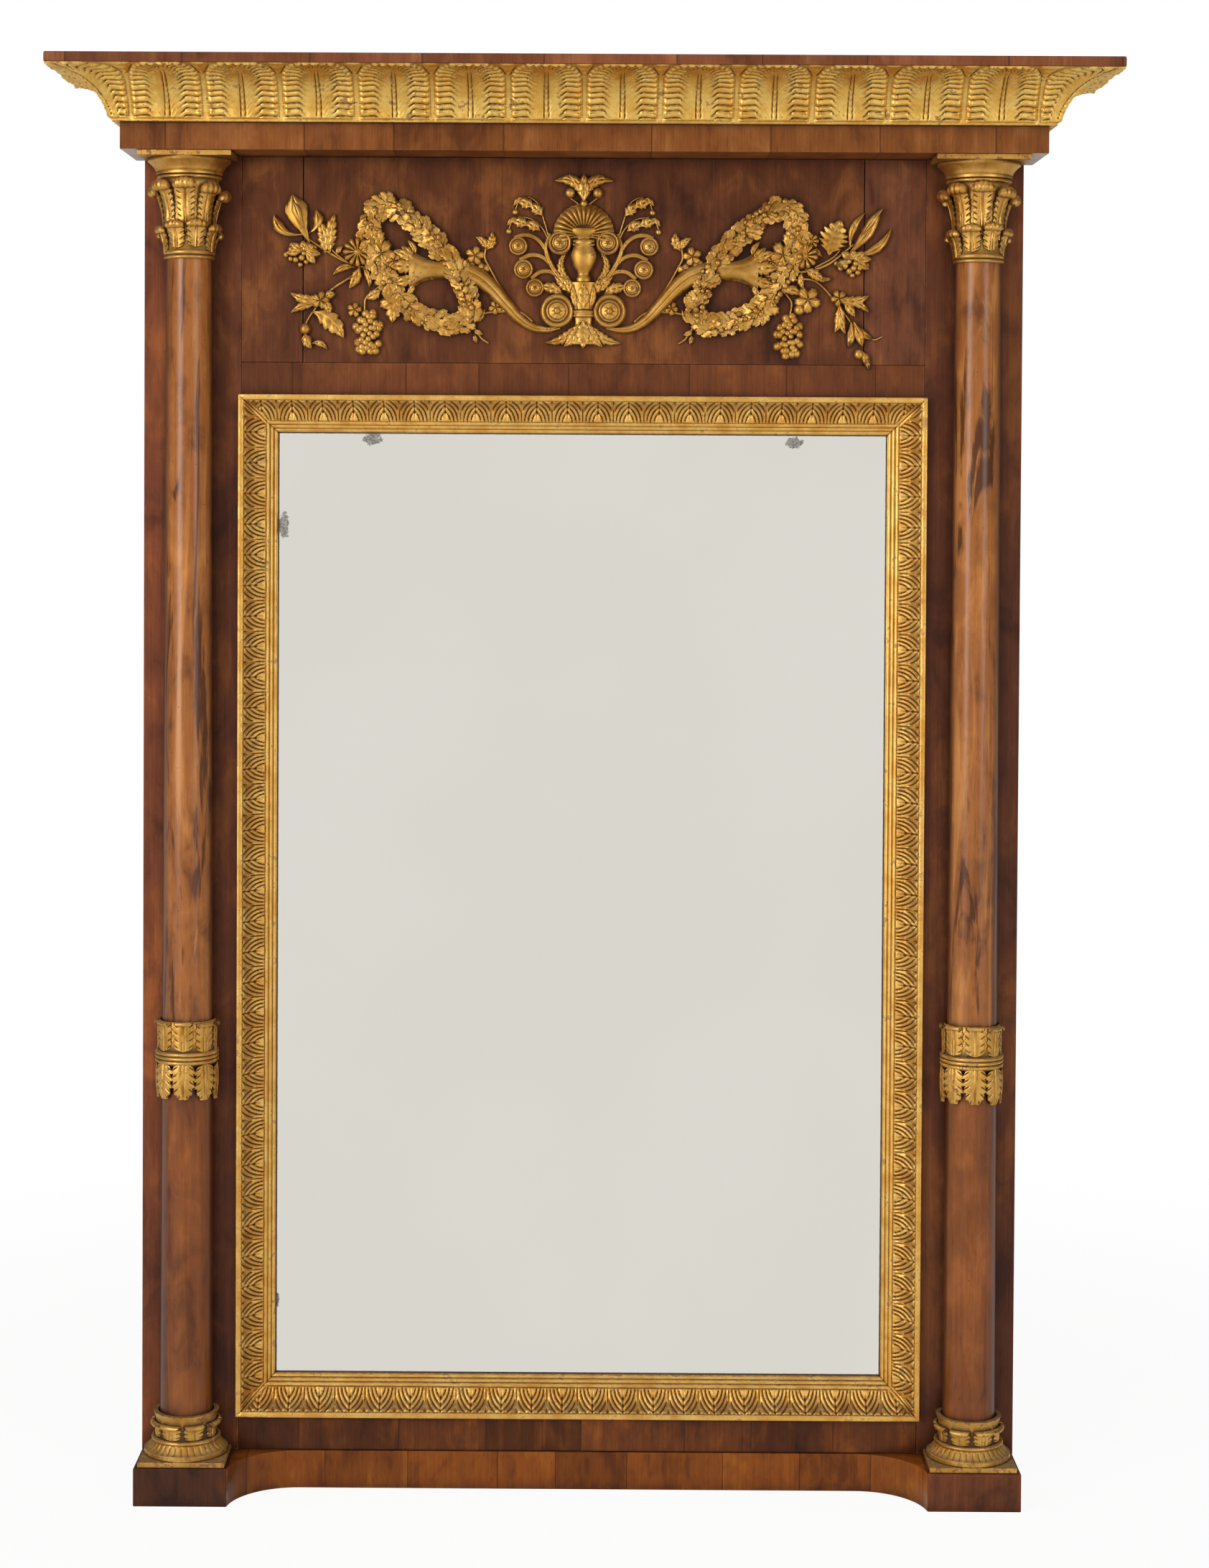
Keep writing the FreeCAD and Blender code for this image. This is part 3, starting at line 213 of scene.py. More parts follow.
def polished(name, tones, shift=(0.0, 0.0, 0.0), mottle=6.0, streak=60.0, pitch=None, reach=0.022, coat=0.08,
             uneven=0.14, painted_light_span=None, painted_floor_light_below=False, haze=0.20):
    """French polished veneer: figure, painted shade with grime in the corners and, where a pitch is given,
    cross-banded lengths.

    Uneven is how much the lengths differ; the span along X, where given, is painted lighter between its two
    places, as painted light on the side lit from the left;
    the underside flag paints the downward faces of what overhangs the stiles pale grey, as a painted
    reflection of the lit white floor."""
    material, tree, surface, place = new_finish(name)
    vector = stretched(tree, place, (1.0, 1.0, 1.0), shift)
    band = placed_group(tree, cross_banding, {"Vector": vector, "Pitch": pitch}) if pitch else None
    if band:
        shade = band["Shade"]
        jump = add_node(tree, "ShaderNodeCombineXYZ", {0: 0.0, 1: shade, 2: shade}).outputs[0]
        vector = vectors(tree, "ADD", vector, jump)
    dark, middle, light = [tone(*part) for part in tones]
    figure = placed_group(tree, fruitwood_figure, {
        "Vector": vector, "Dark": dark, "Middle": middle, "Light": light,
        "Mottle": mottle, "Streak": streak})
    colour = figure["Color"]
    if band:
        shade = spread(tree, band["Shade"], 0.1, 0.9, 1.0 - uneven, 1.0 + uneven)
        grey = add_node(tree, "ShaderNodeCombineColor", {0: shade, 1: shade, 2: shade}).outputs[0]
        colour = mixed(tree, 1.0, colour, grey, "MULTIPLY")
        colour = stained(tree, colour, band["Joint"], 0.55, (40, 18, 9))
    # painted light: between the two places along X the wood is made lighter, as the side lit from the left
    if painted_light_span:
        painted_light_share = spread(tree, axis_of(tree, place, 0), *painted_light_span)
        pale = mixed(tree, painted_light_share, (1.0, 1.0, 1.0, 1.0), (1.62, 1.52, 1.38, 1.0))
        colour = mixed(tree, 1.0, colour, pale, "MULTIPLY")
    # painted reflection: downward faces of the overhang turn pale grey for the light thrown up by the white
    # floor
    if painted_floor_light_below:
        facing = add_node(tree, "ShaderNodeNewGeometry", {}).outputs["Normal"]
        downward = spread(tree, axis_of(tree, facing, 2), -0.80, -0.95)
        overhang = spread(tree, maths(tree, "ABSOLUTE", axis_of(tree, place, 0)), 0.566, 0.571)
        colour = mixed(tree, maths(tree, "MULTIPLY", downward, overhang), colour, tone(186, 172, 160))
    colour, bare = bare_behind(tree, place, colour)
    # painted shade in corners and recesses, with grime there, and pale scuffs worn on the arrises
    shade_and_wear = placed_group(tree, corner_shade_and_grime, {"Vector": place, "Reach": reach})
    colour = stained(tree, colour, shade_and_wear["ShadeAndGrime"], 0.72, (30, 14, 9))
    colour = stained(tree, colour, shade_and_wear["Scuff"], 0.55, (150, 98, 60))
    tree.links.new(colour, surface.inputs["Base Color"])
    rough = maths(tree, "ADD", figure["Roughness"], maths(tree, "MULTIPLY", shade_and_wear["ShadeAndGrime"], 0.25))
    rough = maths(tree, "MAXIMUM", rough, maths(tree, "MULTIPLY", bare, sawn_roughness))
    tree.links.new(rough, surface.inputs["Roughness"])
    bumped(tree, surface, figure["Height"], 0.12, 0.0004)
    surface.inputs["Specular IOR Level"].default_value = 0.12
    surface.inputs["Coat Weight"].default_value = coat
    surface.inputs["Coat Roughness"].default_value = haze
    return material


def shown_as(name, bm, material, nodes, body="frame", crease=35.0, flat=False):
    """The finished mesh as a piece that rides on its body and stands for its plain solids."""
    bmesh.ops.remove_doubles(bm, verts=bm.verts, dist=2e-6)
    bmesh.ops.dissolve_degenerate(bm, edges=bm.edges, dist=1e-6)
    bmesh.ops.recalc_face_normals(bm, faces=bm.faces)
    mesh = bpy.data.meshes.new(name)
    bm.to_mesh(mesh)
    bm.free()
    mesh.shade_smooth()
    mesh.set_sharp_from_angle(angle=math.radians(crease))
    mesh.materials.append(material)
    piece = bpy.data.objects.new(name, mesh)
    bpy.context.scene.collection.objects.link(piece)
    if flat:
        step = piece.modifiers.new("level faces", "WEIGHTED_NORMAL")
        step.weight = 100
        levelled = piece.evaluated_get(bpy.context.evaluated_depsgraph_get())
        piece.data = bpy.data.meshes.new_from_object(levelled)
        piece.modifiers.remove(step)
        bpy.data.meshes.remove(mesh)
        piece.data.name = name
    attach(piece, body)
    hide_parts(*nodes)
    return piece


def eased_copy(node, ease, material, crease=35.0):
    """A joiner's piece with its arrises rounded over."""
    bm = bmesh.new()
    bm.from_mesh(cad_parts[node].data)
    bmesh.ops.remove_doubles(bm, verts=bm.verts, dist=1e-6)
    bmesh.ops.dissolve_limit(bm, angle_limit=math.radians(0.5), verts=bm.verts, edges=bm.edges)
    arrises = [edge for edge in bm.edges if len(edge.link_faces) == 2]
    sharp = [edge for edge in arrises if edge.calc_face_angle() > math.radians(30)]
    bmesh.ops.bevel(
        bm, geom=sharp, offset=ease, offset_type="OFFSET", segments=2, profile=0.5, affect="EDGES",
        clamp_overlap=True)
    return shown_as(node + "_eased", bm, material, [node], crease=crease, flat=True)


stile_tones = ((68, 36, 24), (96, 52, 32), (128, 74, 38))
edge_tones = ((84, 44, 26), (120, 68, 36), (146, 90, 46))
frieze_tones = ((64, 34, 21), (92, 50, 28), (126, 74, 37))
right_board_tones = ((76, 44, 30), (108, 62, 40), (144, 90, 48))
rail_tones = ((78, 42, 24), (100, 55, 29), (118, 66, 33))
bottom_tones = ((56, 28, 12), (88, 46, 20), (128, 70, 26))
carcass_eased = 0.0012
carcass_finish = {
    # painted light: the outer strip of the left stile is made lighter, as lit from the left
    "stile_left": polished("stile_left_veneer", stile_tones, (0.3, 0.0, 0.1), 5.0, painted_light_span=(-0.52, -0.55)),
    "stile_right": polished("stile_right_veneer", stile_tones, (1.7, 0.4, 0.6), 5.0),
    "side_board_left": polished("side_board_left_veneer", edge_tones, (0.9, 0.7, 0.2)),
    "side_board_right": polished("side_board_right_veneer", edge_tones, (2.9, 0.2, 0.8)),
    "bottom_rail": polished(
        "bottom_rail_veneer", bottom_tones, (0.2, 0.1, 0.0), 6.0, 60.0, 0.115, uneven=0.30),
    "frieze_rail": polished("frieze_rail_veneer", rail_tones, (0.6, 0.3, 0.4), 7.0, 60.0, 0.125),
    "frieze_board_left": polished("frieze_left_veneer", frieze_tones, (0.1, 0.8, 1.3), 7.0),
    "frieze_board_centre": polished("frieze_centre_veneer", frieze_tones, (0.5, 1.8, 0.3), 6.0),
    "frieze_board_right": polished("frieze_right_veneer", right_board_tones, (2.1, 1.1, 0.9), 7.0),
}
for node, finish in carcass_finish.items():
    eased_copy(node, carcass_eased, finish)


# Plinth
# Two solid blocks under the columns and a front that sweeps back between them, cross-banded with veneer.
# It is glued and screwed under the carcass and carries the weight on the floor.
plinth_tones = ((92, 46, 16), (124, 66, 20), (150, 88, 28))
left_block_tones = ((50, 29, 20), (72, 40, 25), (92, 52, 29))
right_block_tones = ((74, 40, 24), (104, 57, 32), (126, 70, 36))
plinth_eased = 0.0012
plinth_finish = {
    "plinth_rail": polished("plinth_rail_veneer", plinth_tones, (0.4, 0.9, 0.7), 8.0, 50.0, 0.100),
    "plinth_block_left": polished("plinth_block_left_veneer", left_block_tones, (1.4, 0.2, 0.5), 9.0),
    "plinth_block_right": polished("plinth_block_right_veneer", right_block_tones, (0.7, 1.9, 0.1), 9.0),
}
for node, finish in plinth_finish.items():
    eased_copy(node, plinth_eased, finish)


# Column shafts
# Each engaged shaft is turned in two lengths that meet under the gilt band, veneered and polished.
# The upper length is paler, and both carry old worm holes and a few long shakes along the grain.
def half_across(node):
    low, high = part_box(node)
    return (high.x - low.x) / 2


face_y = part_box("stile_right")[0].y
shaft_base_radius = half_across("shaft_lower_right")
shaft_joint_radius = half_across("shaft_upper_right")
column_x = (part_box("shaft_upper_right")[0].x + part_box("shaft_upper_right")[1].x) / 2
column_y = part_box("shaft_lower_right")[0].y + shaft_base_radius
shaft_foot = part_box("shaft_lower_right")[0].z
shaft_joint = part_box("shaft_lower_right")[1].z
shaft_taper = (shaft_base_radius - shaft_joint_radius) / (shaft_joint - shaft_foot)
shaft_sides = 128


def grid_faces(rows, cols, wrap_rows=False, wrap_cols=False):
    faces = []
    for row in range(rows if wrap_rows else rows - 1):
        for col in range(cols if wrap_cols else cols - 1):
            down, across = (row + 1) % rows, (col + 1) % cols
            faces.append((row * cols + col, row * cols + across, down * cols + across, down * cols + col))
    return faces


def turned(profile, sides, ripple=None):
    """Points and faces turned about the column's axis from (radius, height) pairs, with flat ends."""
    profile = np.array(profile)
    angle = np.linspace(0, 2 * np.pi, sides, endpoint=False)
    radius = np.repeat(profile[:, :1], sides, axis=1)
    if ripple is not None:
        radius = radius + ripple(profile, angle)
    height = np.repeat(profile[:, 1:], sides, axis=1)
    points = np.stack([radius * np.sin(angle), -radius * np.cos(angle), height], -1).reshape(-1, 3)
    last = (len(profile) - 1) * sides
    ends = [tuple(range(sides)), tuple(range(last, last + sides))]
    return points, grid_faces(len(profile), sides, wrap_cols=True) + ends


def mesh_of(parts, shift=(0.0, 0.0, 0.0)):
    """One working mesh from several sets of points and faces."""
    bm = bmesh.new()
    for points, faces in parts:
        mesh = bpy.data.meshes.new("working")
        mesh.from_pydata((np.array(points) + np.array(shift)).tolist(), [], faces)
        bm.from_mesh(mesh)
        bpy.data.meshes.remove(mesh)
    return bm


def cut_at_carcass(bm):
    """What reaches behind the carcass face is sawn away, as an engaged column is."""
    bmesh.ops.remove_doubles(bm, verts=bm.verts, dist=2e-6)
    everything = bm.verts[:] + bm.edges[:] + bm.faces[:]
    cut = bmesh.ops.bisect_plane(
        bm, geom=everything, plane_co=(0, face_y, 0), plane_no=(0, 1, 0), clear_outer=True, dist=1e-7)
    edges = [item for item in cut["geom_cut"] if isinstance(item, bmesh.types.BMEdge)]
    bmesh.ops.holes_fill(bm, edges=edges, sides=0)


def reopened(material):
    """A material to add to: its tree, its surface shader, the place on the object and the colour so far."""
    tree = material.node_tree
    surface = tree.nodes["Principled BSDF"]
    place = add_node(tree, "ShaderNodeTexCoord", {}).outputs["Object"]
    return tree, surface, place, surface.inputs["Base Color"].links[0].from_socket


def scattered(tree, vector, scale, edge, picked):
    """Small round spots at random places: edge is where a spot fades, picked the share that has none."""
    inputs = {"Vector": vector, "Scale": scale, "Randomness": 1.0}
    cell = add_node(tree, "ShaderNodeTexVoronoi", inputs).outputs
    pick = add_node(tree, "ShaderNodeSeparateColor", {0: cell["Color"]}).outputs[0]
    return maths(tree, "MULTIPLY", spread(tree, cell["Distance"], *edge), spread(tree, pick, *picked))


def worm_eaten(material, holes):
    """Adds flight holes of furniture beetle and fine shakes to a polished material."""
    tree, surface, place, before = reopened(material)
    hole = scattered(tree, place, holes, (0.075, 0.045), (0.74, 0.76))
    line = noise(tree, stretched(tree, place, (1.0, 1.0, 0.03)), 34.0, 2.0, 0.5, 0.3)
    off = maths(tree, "ABSOLUTE", maths(tree, "SUBTRACT", line, 0.5))
    rare = noise(tree, stretched(tree, place, (1.0, 1.0, 0.2)), 9.0, 2.0)
    shake = maths(tree, "MULTIPLY", spread(tree, off, 0.006, 0.001), spread(tree, rare, 0.56, 0.64))
    mark = maths(tree, "MAXIMUM", hole, maths(tree, "MULTIPLY", shake, 0.7))
    tree.links.new(mixed(tree, mark, before, tone(24, 12, 8)), surface.inputs["Base Color"])
    return material


def turned_figure_and_shade(material, dark_share, pale_share):
    """Long dark and pale streaks of the shaft's veneer, and painted shade darkening the shaft toward its
    edges as they turn away from the camera.
    """
    tree, surface, place, before = reopened(material)
    streak = noise(tree, stretched(tree, place, (1.0, 1.0, 0.09)), 30.0, 5.0, 0.6, 1.2)
    colour = stained(tree, before, spread(tree, streak, 0.53, 0.61), dark_share, (66, 32, 14))
    colour = stained(tree, colour, spread(tree, streak, 0.46, 0.34), pale_share, (206, 142, 76))
    # painted shade: darker toward grazing angles, at the shaft's edges
    rim = spread(tree, add_node(tree, "ShaderNodeLayerWeight", {"Blend": 0.5}).outputs["Facing"], 0.22, 0.80)
    tree.links.new(stained(tree, colour, rim, 0.80, (58, 28, 15)), surface.inputs["Base Color"])
    return material


upper_tones = ((108, 60, 27), (150, 90, 42), (178, 114, 56))
lower_tones = ((90, 44, 17), (122, 66, 25), (148, 84, 34))
shaft_lengths = (("lower", lower_tones, 0.2, (0.34, 0.06)), ("upper", upper_tones, 1.1, (0.86, 0.42)))
beetle_holes = 95.0
for side, sign in (("left", -1), ("right", 1)):
    for length, tones, drift, streaks in shaft_lengths:
        node = f"shaft_{length}_{side}"
        ends = [corner.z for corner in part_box(node)]
        profile = [(shaft_base_radius - shaft_taper * (z - shaft_foot), z) for z in ends]
        bm = mesh_of([turned(profile, shaft_sides)], (sign * column_x, column_y, 0))
        cut_at_carcass(bm)
        shift = (drift + sign, 0.3, 0.5 * drift)
        finish = polished(f"{node}_veneer", tones, shift, 7.0, 45.0, None, 0.016, 0.40, haze=0.24)
        # painted shade darkens each shaft toward its edges
        finish = worm_eaten(turned_figure_and_shade(finish, *streaks), beetle_holes)
        shown_as(f"{node}_turned", bm, finish, [node])


# Column bases, bands and capitals
# Carved and turned limewood, gessoed, laid with red bole and water gilded, then burnished.
# Eight leaves stand round each ring; the whole is split and glued against the carcass like the shafts.
def gilding_group():
    """Leaf gold over bole: painted shade with grime darkening the recesses and creases, rubbed through on
    the heights, speckled and uneven.
    """
    tree, given, made = new_group(
        "Water Gilding",
        (("Vector", "Vector"), ("Bright", "Color"), ("Deep", "Color"), ("Bole", "Color"),
         ("Recess", "Float"), ("Rub", "Float")),
        (("Color", "Color"), ("Metal", "Float"), ("Roughness", "Float"), ("Height", "Float")))
    vector = given["Vector"]
    sheet = noise(tree, vector, 38.0, 3.0, 0.5)
    patch = noise(tree, vector, 140.0, 6.0, 0.65)
    fine = noise(tree, vector, 900.0, 3.0, 0.6)
    gold = mixed(tree, spread(tree, sheet, 0.30, 0.70), given["Deep"], given["Bright"])
    dull = mixed(tree, spread(tree, patch, 0.36, 0.64), (0.90, 0.87, 0.82, 1.0), (1.04, 1.04, 1.04, 1.0))
    gold = mixed(tree, 1.0, gold, dull, "MULTIPLY")
    # painted shade: ambient occlusion and concave pointiness darken recesses and creases, with grime
    hollow = add_node(tree, "ShaderNodeAmbientOcclusion", {"Distance": given["Recess"]}, samples=8)
    shape = add_node(tree, "ShaderNodeNewGeometry", {}).outputs
    cut = spread(tree, shape["Pointiness"], 0.492, 0.452)
    shade = maths(tree, "MAXIMUM", spread(tree, hollow.outputs["AO"], 0.86, 0.34), cut)
    high = spread(tree, shape["Pointiness"], 0.51, 0.58)
    high = maths(tree, "MULTIPLY", high, spread(tree, patch, 0.50, 0.60))
    worn = maths(tree, "MAXIMUM", high, spread(tree, maths(tree, "ADD", patch, sheet), 1.16, 1.24))
    worn = maths(tree, "MULTIPLY", worn, given["Rub"])
    upward = spread(tree, axis_of(tree, shape["Normal"], 2), 0.45, 0.95)
    dust = maths(tree, "MULTIPLY", upward, spread(tree, patch, 0.35, 0.60, 0.35, 0.9))
    speck = scattered(tree, vector, 210.0, (0.20, 0.12), (0.84, 0.86))
    colour = mixed(tree, worn, gold, given["Bole"])
    colour = mixed(tree, dust, colour, tone(116, 92, 66))
    colour = stained(tree, colour, shade, 0.92, (58, 32, 8))
    colour = stained(tree, colour, speck, 0.75, (52, 28, 12))
    tree.links.new(colour, made["Color"])
    # painted shade also takes the metal out of the recesses
    bare = maths(tree, "MAXIMUM", maths(tree, "MAXIMUM", worn, speck), maths(tree, "MULTIPLY", shade, 0.75))
    bare = maths(tree, "MAXIMUM", bare, dust)
    tree.links.new(maths(tree, "SUBTRACT", 1.0, maths(tree, "MULTIPLY", bare, 0.85)), made["Metal"])
    gloss = maths(tree, "ADD", spread(tree, patch, 0.3, 0.7, 0.42, 0.52), maths(tree, "MULTIPLY", bare, 0.3))
    tree.links.new(gloss, made["Roughness"])
    uneven = maths(tree, "ADD", maths(tree, "MULTIPLY", patch, 0.7), maths(tree, "MULTIPLY", fine, 0.3))
    tree.links.new(uneven, made["Height"])
    return tree


water_gilding = gilding_group()


def gilded(name, bright, deep, recess, rub, shift=(0.0, 0.0, 0.0)):
    """Burnished gold leaf; recess is how far into a hollow the painted shade and grime reach."""
    material, tree, surface, place = new_finish(name)
    made = placed_group(tree, water_gilding, {
        "Vector": stretched(tree, place, (1.0, 1.0, 1.0), shift), "Bright": tone(*bright),
        "Deep": tone(*deep), "Bole": tone(120, 62, 34), "Recess": recess, "Rub": rub})
    colour, bare = bare_behind(tree, place, made["Color"])
    tree.links.new(colour, surface.inputs["Base Color"])
    gold_there = maths(tree, "SUBTRACT", 1.0, bare)
    tree.links.new(maths(tree, "MULTIPLY", made["Metal"], gold_there), surface.inputs["Metallic"])
    rough = maths(tree, "MAXIMUM", made["Roughness"], maths(tree, "MULTIPLY", bare, sawn_roughness))
    tree.links.new(rough, surface.inputs["Roughness"])
    bumped(tree, surface, made["Height"], 0.25, 0.0006)
    return material


column_gilding = gilded("column_gilding", (234, 186, 102), (202, 150, 70), 0.007, 0.8, (0.3, 0.2, 0.7))


def set_out_tree():
    """Sets a carved pattern out at marked places, each with its own turn and size and a little wander."""
    tree = bpy.data.node_groups.new("Set Out Carving", "GeometryNodeTree")
    sockets = (
        ("Places", "Geometry"), ("Pattern", "Object"), ("Finish", "Material"), ("Turn Wander", "Vector"),
        ("Size Wander", "Float"), ("Seed", "Int"))
    for label, kind in sockets:
        tree.interface.new_socket(name=label, in_out="INPUT", socket_type="NodeSocket" + kind)
    tree.interface.new_socket(name="Carving", in_out="OUTPUT", socket_type="NodeSocketGeometry")
    given = tree.nodes.new("NodeGroupInput").outputs
    made = tree.nodes.new("NodeGroupOutput").inputs
    pattern = add_node(tree, "GeometryNodeObjectInfo", {"Object": given["Pattern"]}).outputs["Geometry"]
    marked = "GeometryNodeInputNamedAttribute"
    turn = add_node(tree, marked, {"Name": "turn"}, data_type="FLOAT_VECTOR").outputs[0]
    size = add_node(tree, marked, {"Name": "size"}, data_type="FLOAT").outputs[0]
    least = add_node(
        tree, "ShaderNodeVectorMath", {0: given["Turn Wander"], 3: -1.0}, operation="SCALE").outputs[0]
    wander = add_node(
        tree, "FunctionNodeRandomValue", {0: least, 1: given["Turn Wander"], 8: given["Seed"]},
        data_type="FLOAT_VECTOR").outputs[0]
    turned_by = vectors(tree, "ADD", turn, wander)
    rotation = add_node(tree, "FunctionNodeEulerToRotation", {0: turned_by}).outputs[0]
    small = maths(tree, "SUBTRACT", 1.0, given["Size Wander"])
    large = maths(tree, "ADD", 1.0, given["Size Wander"])
    share = add_node(
        tree, "FunctionNodeRandomValue", {2: small, 3: large, 8: given["Seed"]},
        data_type="FLOAT").outputs[1]
    scale = maths(tree, "MULTIPLY", size, share)
    placed = add_node(tree, "GeometryNodeInstanceOnPoints", {
        "Points": given["Places"], "Instance": pattern, "Rotation": rotation, "Scale": scale}).outputs[0]
    solid = add_node(tree, "GeometryNodeRealizeInstances", {"Geometry": placed}).outputs[0]
    finished = add_node(tree, "GeometryNodeSetMaterial", {"Geometry": solid, "Material": given["Finish"]})
    tree.links.new(finished.outputs[0], made["Carving"])
    return tree


set_out_carving = set_out_tree()


def set_out(bm, pattern, places, turns, sizes, finish, turn_wander=(0.0, 0.0, 0.0), size_wander=0.0, seed=1):
    """Adds copies of a pattern, given as points and faces, to a working mesh."""
    shape = mesh_of([pattern])
    bmesh.ops.remove_doubles(shape, verts=shape.verts, dist=2e-6)
    pattern_mesh = bpy.data.meshes.new("pattern")
    shape.to_mesh(pattern_mesh)
    shape.free()
    model = bpy.data.objects.new("pattern", pattern_mesh)
    marks = bpy.data.meshes.new("places")
    marks.from_pydata([tuple(place) for place in places], [], [])
    marks.attributes.new("turn", "FLOAT_VECTOR", "POINT").data.foreach_set(
        "vector", np.array(turns, np.float32).ravel())
    marks.attributes.new("size", "FLOAT", "POINT").data.foreach_set("value", np.array(sizes, np.float32))
    carrier = bpy.data.objects.new("places", marks)
    for item in (model, carrier):
        bpy.context.scene.collection.objects.link(item)
    step = carrier.modifiers.new("set out", "NODES")
    step.node_group = set_out_carving
    values = {
        "Pattern": model, "Finish": finish, "Turn Wander": turn_wander, "Size Wander": size_wander,
        "Seed": seed}
    for item in set_out_carving.interface.items_tree:
        if item.in_out == "INPUT" and item.name in values:
            step[item.identifier] = values[item.name]
    carrier.update_tag()
    made = bpy.data.meshes.new_from_object(carrier.evaluated_get(bpy.context.evaluated_depsgraph_get()))
    carrier.modifiers.remove(step)
    bm.from_mesh(made)
    for item in (model, carrier):
        bpy.data.objects.remove(item)
    for mesh in (made, marks, pattern_mesh):
        bpy.data.meshes.remove(mesh)


def along_path(path, count):
    """Points evenly spaced along a smooth line through the given ones."""
    path = np.array(path, float)
    before = np.vstack([2 * path[0] - path[1], path, 2 * path[-1] - path[-2]])
    fine = []
    for start in range(len(path) - 1):
        a, b, c, d = before[start:start + 4]
        t = np.linspace(0, 1, 16, endpoint=False)[:, None]
        square, cube = 2 * a - 5 * b + 4 * c - d, 3 * b - a - 3 * c + d
        fine.append(0.5 * (2 * b + (c - a) * t + square * t**2 + cube * t**3))
    fine = np.vstack(fine + [path[-1:]])
    travelled = np.concatenate([[0], np.cumsum(np.linalg.norm(np.diff(fine, axis=0), axis=1))])
    wanted = np.linspace(0, travelled[-1], count)
    return np.stack([np.interp(wanted, travelled, fine[:, axis]) for axis in range(path.shape[1])], -1)


def carved_shell(front, back):
    """A closed leaf between its face and its back, each a grid of points."""
    rows, cols = front.shape[:2]
    points = np.concatenate([front.reshape(-1, 3), back.reshape(-1, 3)])
    rim = list(range(cols)) + [row * cols + cols - 1 for row in range(1, rows)]
    rim += [(rows - 1) * cols + col for col in range(cols - 2, -1, -1)]
    rim += [row * cols for row in range(rows - 2, 0, -1)]
    start = rows * cols
    faces = grid_faces(rows, cols)
    faces += [tuple(start + corner for corner in face[::-1]) for face in grid_faces(rows, cols)]
    for here, there in zip(rim, rim[1:] + rim[:1]):
        faces.append((here, start + here, start + there, there))
    return points, faces


def ring_leaf(spine, half_angle, teeth, notch, relief, thickness, shape, curl=1.0, rows=72, cols=23):
    """A leaf against a column: spine is (radius, height) from root to tip, shape its width on the way,
    teeth the cuts down each edge as far as the curl."""
    path = along_path(spine, rows)
    along = np.linspace(0, 1, rows)[:, None]
    across = np.linspace(-1, 1, cols)[None, :]
    width = np.interp(along, *np.array(shape).T)
    toothed = np.clip((curl - along) / 0.06, 0, 1)
    steps = along / curl * teeth
    edge = width * (1 - notch * toothed * (1 - steps % 1.0) ** 1.6)
    angle = half_angle * edge * across
    swept = np.clip(along + 0.40 * toothed * curl * np.abs(across) ** 1.4 / teeth, 0, 1)
    radius = np.interp(swept, along[:, 0], path[:, 0])
    height = np.interp(swept, along[:, 0], path[:, 1])
    way = np.gradient(path, axis=0)
    way /= np.linalg.norm(way, axis=1, keepdims=True)
    facing = np.sign(path[-1, 1] - path[0, 1])
    out = facing * np.interp(swept, along[:, 0], way[:, 1])
    down = -facing * np.interp(swept, along[:, 0], way[:, 0])
    phase = steps - 0.55 * np.abs(across)
    near_edge = np.clip((np.abs(across) - 0.46) / 0.22, 0, 1)
    cut = np.exp(-(((phase - np.round(phase)) / 0.10) ** 2)) * near_edge * toothed
    dome = np.sqrt(np.clip(1 - 0.80 * across**2, 0, 1))
    stem = np.clip(1.15 - along, 0.2, 1)
    rib = np.exp(-((across / (0.10 * stem)) ** 2))
    ditch = np.exp(-(((np.abs(across) - 0.19 * stem) / 0.055) ** 2))
    pleat = (1 - toothed) * 0.30 * np.cos(across * 9.0)
    lift = relief * (0.30 + 0.70 * dome + 0.30 * rib - 0.45 * ditch * toothed - 0.85 * cut + pleat)

    def wrapped(offset):
        r = radius + out * offset
        return np.stack([r * np.sin(angle), -r * np.cos(angle), height + down * offset], -1)

    return carved_shell(wrapped(lift), wrapped(np.full(lift.shape, -thickness)))


def rolled_tip(radius, height, roll, sweep):
    """The end of a leaf's spine, rolled outward from a radius and height through an angle in degrees."""
    turns = np.radians(np.linspace(180, 180 - sweep, 9))
    return [(radius + roll + roll * math.cos(turn), height + roll * math.sin(turn)) for turn in turns]


def rolled_knob(radius, height, half_width, roll, pleats):
    """The pleated roll at a leaf's tip, lying round the column's curve."""
    rows, sides = 25, 18
    t = np.linspace(-1, 1, rows)[:, None]
    turn = np.linspace(0, 2 * math.pi, sides, endpoint=False)[None, :]
    fat = roll * np.sqrt(1.001 - t**2) ** 0.7 * (1 - 0.16 * (0.5 + 0.5 * np.cos(2 * math.pi * pleats * t)))
    r = radius + fat * np.cos(turn) - 0.10 * roll * t**2
    angle = t * half_width / radius + 0 * turn
    z = height + fat * np.sin(turn) - 0.30 * roll * t**2
    points = np.stack([r * np.sin(angle), -r * np.cos(angle), z], -1).reshape(-1, 3)
    ends = [tuple(range(sides)), tuple(range((rows - 1) * sides, rows * sides))]
    return points, grid_faces(rows, sides, wrap_cols=True) + ends


leaves_round = 8
half_leaf = math.pi / leaves_round


def ring_of_leaves(bm, pattern, axis, first):
    """Copies of a leaf or knob round a column, the first turned by a share of the pitch."""
    pitch = 2 * math.pi / leaves_round
    turns = [(0.0, 0.0, pitch * (place + first)) for place in range(leaves_round)]
    wander = (0.0, 0.0, math.radians(0.6))
    sizes = [1.0] * leaves_round
    set_out(bm, pattern, [axis] * leaves_round, turns, sizes, column_gilding, wander, 0.006, 7)


